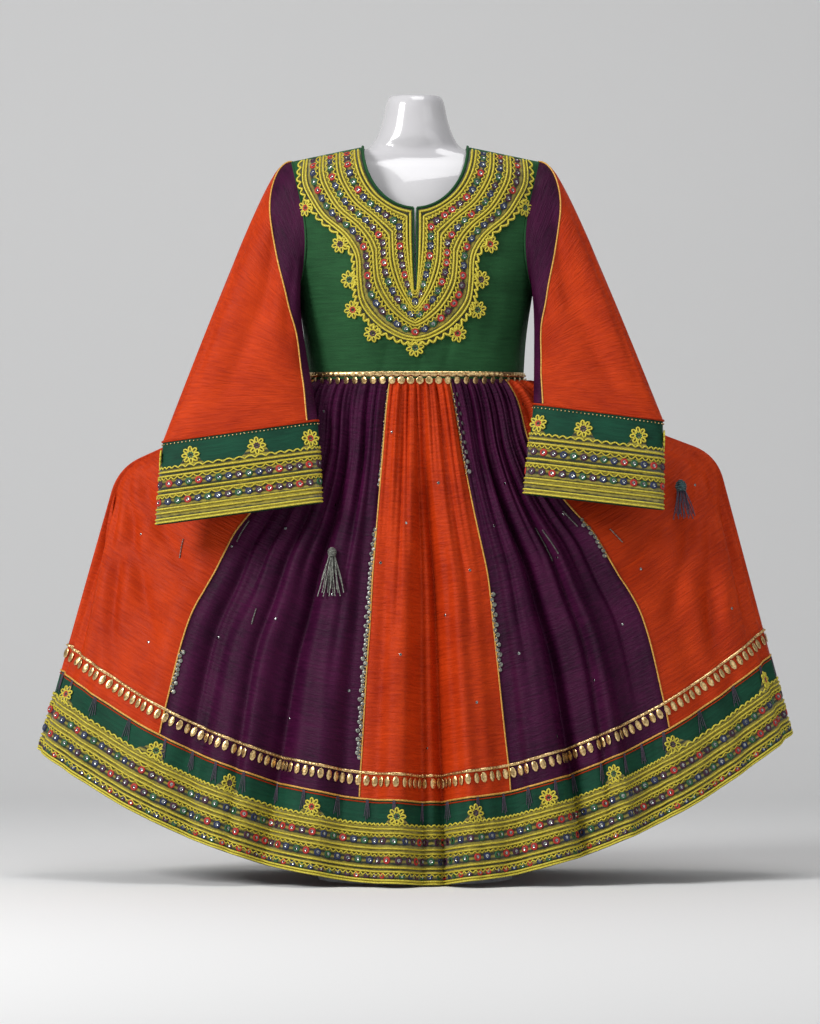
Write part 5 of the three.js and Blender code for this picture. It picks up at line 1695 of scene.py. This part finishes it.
        beads = line(0.05).dots(BEAD, 6.0, 2.4)
        beads.slots[:] = 1
        angles = spacing * np.arange(CUFF_FLOWERS)
        work = Work(
            cotton=surface_patch(180, 20, green),
            ground=surface_patch(220, 24, gold),
            cords=[line(share).cord(3.4, 1.6, 5) for share in CUFF_CORD_ROWS]
            + [line(share, 0.035, CUFF_ZIGZAGS).cord(3.4, 1.1, 2.6) for share in CUFF_ZIGZAG_ROWS],
            edges=[line(share).cord(3.3, 1.4, 5) for share in CUFF_HEM_ROWS]
            + [line(0.355, -0.03, CUFF_ZIGZAGS).cord(2.8, 1.2, 2.6)],
            mirrors=[line(share).dots(MIRROR, 15.5, 2.6, 4, skip) for share, skip in CUFF_MIRROR_ROWS]
            + [self.flowers(cloth, angles, np.full(CUFF_FLOWERS, 0.22), 1.9, 0.1)],
            piping=[line(0.012).cord(2.2, 1.7, 5, 6), beads],
            piping_looks=(Look.ORANGE, Look.BRAID),
        )
        self.embroidered(f"cuff_{shape.name}", work)

    def tassel(self, shape: TasselShape) -> None:
        """One tassel: a beaded head with chains of beads and threads."""
        column, level = np.array([shape.column]), np.array([shape.level])
        outward = self.smooth_skirt.flattened(self.smooth_skirt.base, column, level)[0]
        upward = unit(np.array([0.0, 0.0, 1.0]) - outward * outward[2])
        sideways = np.cross(upward, outward)
        middle = self.smooth_skirt.point(column, level)[0] + outward * shape.off

        def local(x: Array, y: Array, z: Array) -> Array:
            """Points from the tassel's own sideways, inward and upward distances."""
            return middle + stack(x, y, z) @ np.stack([sideways, -outward, upward])

        parts = []
        for k, (size, height) in enumerate(TASSEL_RINGS):
            count = max(6, int(2 * math.pi * size * shape.radius / 2.3))
            turn = 2 * math.pi * (np.arange(count) + 0.5 * (k % 2)) / count
            ring_x, ring_y = size * shape.radius * np.cos(turn), size * shape.radius * np.sin(turn)
            places = local(ring_x, ring_y, np.full(count, height * shape.radius))
            none = np.zeros(count)
            away = places - local(none, none, np.full(count, height * shape.radius))
            parts.append(scattered(BEAD, places - unit(away) * 0.6, np.tile(sideways, (count, 1)), away))
        core = ring_patch(TASSEL_CORE, 14, [0] * len(TASSEL_CORE))
        parts.append(Patch(local(*(core.points * shape.radius * 0.95).T), core.faces, core.uvs, core.slots))
        for i in range(TASSEL_STRANDS):
            share = i / (TASSEL_STRANDS - 1) - 0.5
            depth = 1.9 * math.cos(2.4 * i)
            down = np.linspace(0, 1, 12)
            start = share * 1.5 * shape.radius
            x = lerp(start, start + 2.0 * shape.spread * share, down) + 0.8 * np.sin(5 * down + 1.7 * i)
            z = -0.8 * shape.radius - shape.length * down * (1 - 0.09 * ((i * 5) % 3))
            path = local(x, depth + 0 * down, z)
            parts.append(tube_patch(path, np.tile(outward, (12, 1)), 0.85, 5, slot=1))
            if shape.strand is Look.SILVER or i % 4 == 0:
                beads = scattered(BEAD, path[1::2], np.tile(sideways, (6, 1)), np.tile(outward, (6, 1)))
                beads.slots[:] = 1
                parts.append(beads)
        looks = [shape.head, shape.strand]
        self.wardrobe.add(f"{shape.name}_beads", Patch.joined(parts), looks, "tassel_beads", [shape.name])


# Name, place and size in metres, and power in watts.
LIGHTS = (
    ("key", (-2.8, -2.2, 2.3), 1.2, 110.0),
    ("fill", (2.8, -2.8, 1.4), 2.4, 14.0),
    ("top", (0.3, -1.0, 3.4), 1.6, 34.0),
)
AIM = Vector((0, 0, 0.6))


class Studio:
    """The plain floor, the soft lights and the camera."""

    def build(self) -> None:
        """Builds all three."""
        self.floor()
        self.lights()
        self.camera()

    def floor(self) -> None:
        """A pale floor that sweeps up into a backdrop."""

        def place(u: Array, v: Array) -> tuple[Array, Array]:
            """The paper: across by u, and from the front to the top of the backdrop by v."""
            x = lerp(-9000, 9000, u)
            flat = lerp(-10000, 2200, clamp(v / 0.55, 0, 1))
            bend = clamp((v - 0.55) / 0.15, 0, 1) * math.pi / 2
            rise = clamp((v - 0.7) / 0.3, 0, 1)
            y = flat + 1300 * np.sin(bend)
            z = 1300 * (1 - np.cos(bend)) + 5200 * rise
            return stack(x, y, z), stack(u * 18, v * 16, 0)[:, :2]

        patch = surface_patch(2, 120, place)
        mesh = bpy.data.meshes.new("studio_floor")
        mesh.from_pydata((patch.points * MM).tolist(), [], patch.faces)
        mesh.polygons.foreach_set("use_smooth", np.ones(len(mesh.polygons), bool))
        material = bpy.data.materials.new("studio_paper")
        material.use_nodes = True
        nodes, links = material.node_tree.nodes, material.node_tree.links
        shader = nodes["Principled BSDF"]
        noise = nodes.new("ShaderNodeTexNoise")
        noise.inputs["Scale"].default_value = 1.2
        ramp = nodes.new("ShaderNodeValToRGB")
        ramp.color_ramp.elements[0].color = (0.8, 0.8, 0.8, 1)
        ramp.color_ramp.elements[1].color = (0.86, 0.86, 0.86, 1)
        links.new(noise.outputs["Fac"], ramp.inputs["Fac"])
        links.new(ramp.outputs["Color"], shader.inputs["Base Color"])
        shader.inputs["Roughness"].default_value = 0.9
        # Seen from behind, the paper is clear, so that the back can be looked at.
        clear = nodes.new("ShaderNodeBsdfTransparent")
        mix = nodes.new("ShaderNodeMixShader")
        side = nodes.new("ShaderNodeNewGeometry")
        links.new(side.outputs["Backfacing"], mix.inputs[0])
        links.new(shader.outputs["BSDF"], mix.inputs[1])
        links.new(clear.outputs["BSDF"], mix.inputs[2])
        links.new(mix.outputs["Shader"], nodes["Material Output"].inputs["Surface"])
        mesh.materials.append(material)
        floor = bpy.data.objects.new("studio_floor", mesh)
        bpy.context.scene.collection.objects.link(floor)

    def lights(self) -> None:
        """Three large soft lights and a pale surround."""
        for name, place, size, power in LIGHTS:
            data = bpy.data.lights.new(name, "AREA")
            data.size = size
            data.energy = power
            light = bpy.data.objects.new(name, data)
            light.location = place
            light.visible_camera = False
            light.rotation_euler = (AIM - Vector(place)).to_track_quat("-Z", "Y").to_euler()
            bpy.context.scene.collection.objects.link(light)
        world = bpy.data.worlds.new("surround")
        world.use_nodes = True
        world.node_tree.nodes["Background"].inputs["Color"].default_value = (0.9, 0.91, 0.92, 1)
        world.node_tree.nodes["Background"].inputs["Strength"].default_value = 0.3
        bpy.context.scene.world = world
        bpy.context.scene.view_settings.view_transform = "Standard"

    def camera(self) -> None:
        """A level camera straight in front, as far away as the photograph's."""
        data = bpy.data.cameras.new("camera")
        data.sensor_fit = "VERTICAL"
        data.sensor_height = 36
        data.lens = 181.5
        data.clip_end = 60
        camera = bpy.data.objects.new("camera", data)
        camera.location = (-0.008, -8.0, 0.567)
        camera.rotation_euler = (math.pi / 2, 0, 0)
        bpy.context.scene.collection.objects.link(camera)
        bpy.context.scene.camera = camera


def main() -> None:
    """Builds the studio and the dress."""
    Studio().build()
    Dress(Wardrobe()).build()


if __name__ == "__main__":
    main()
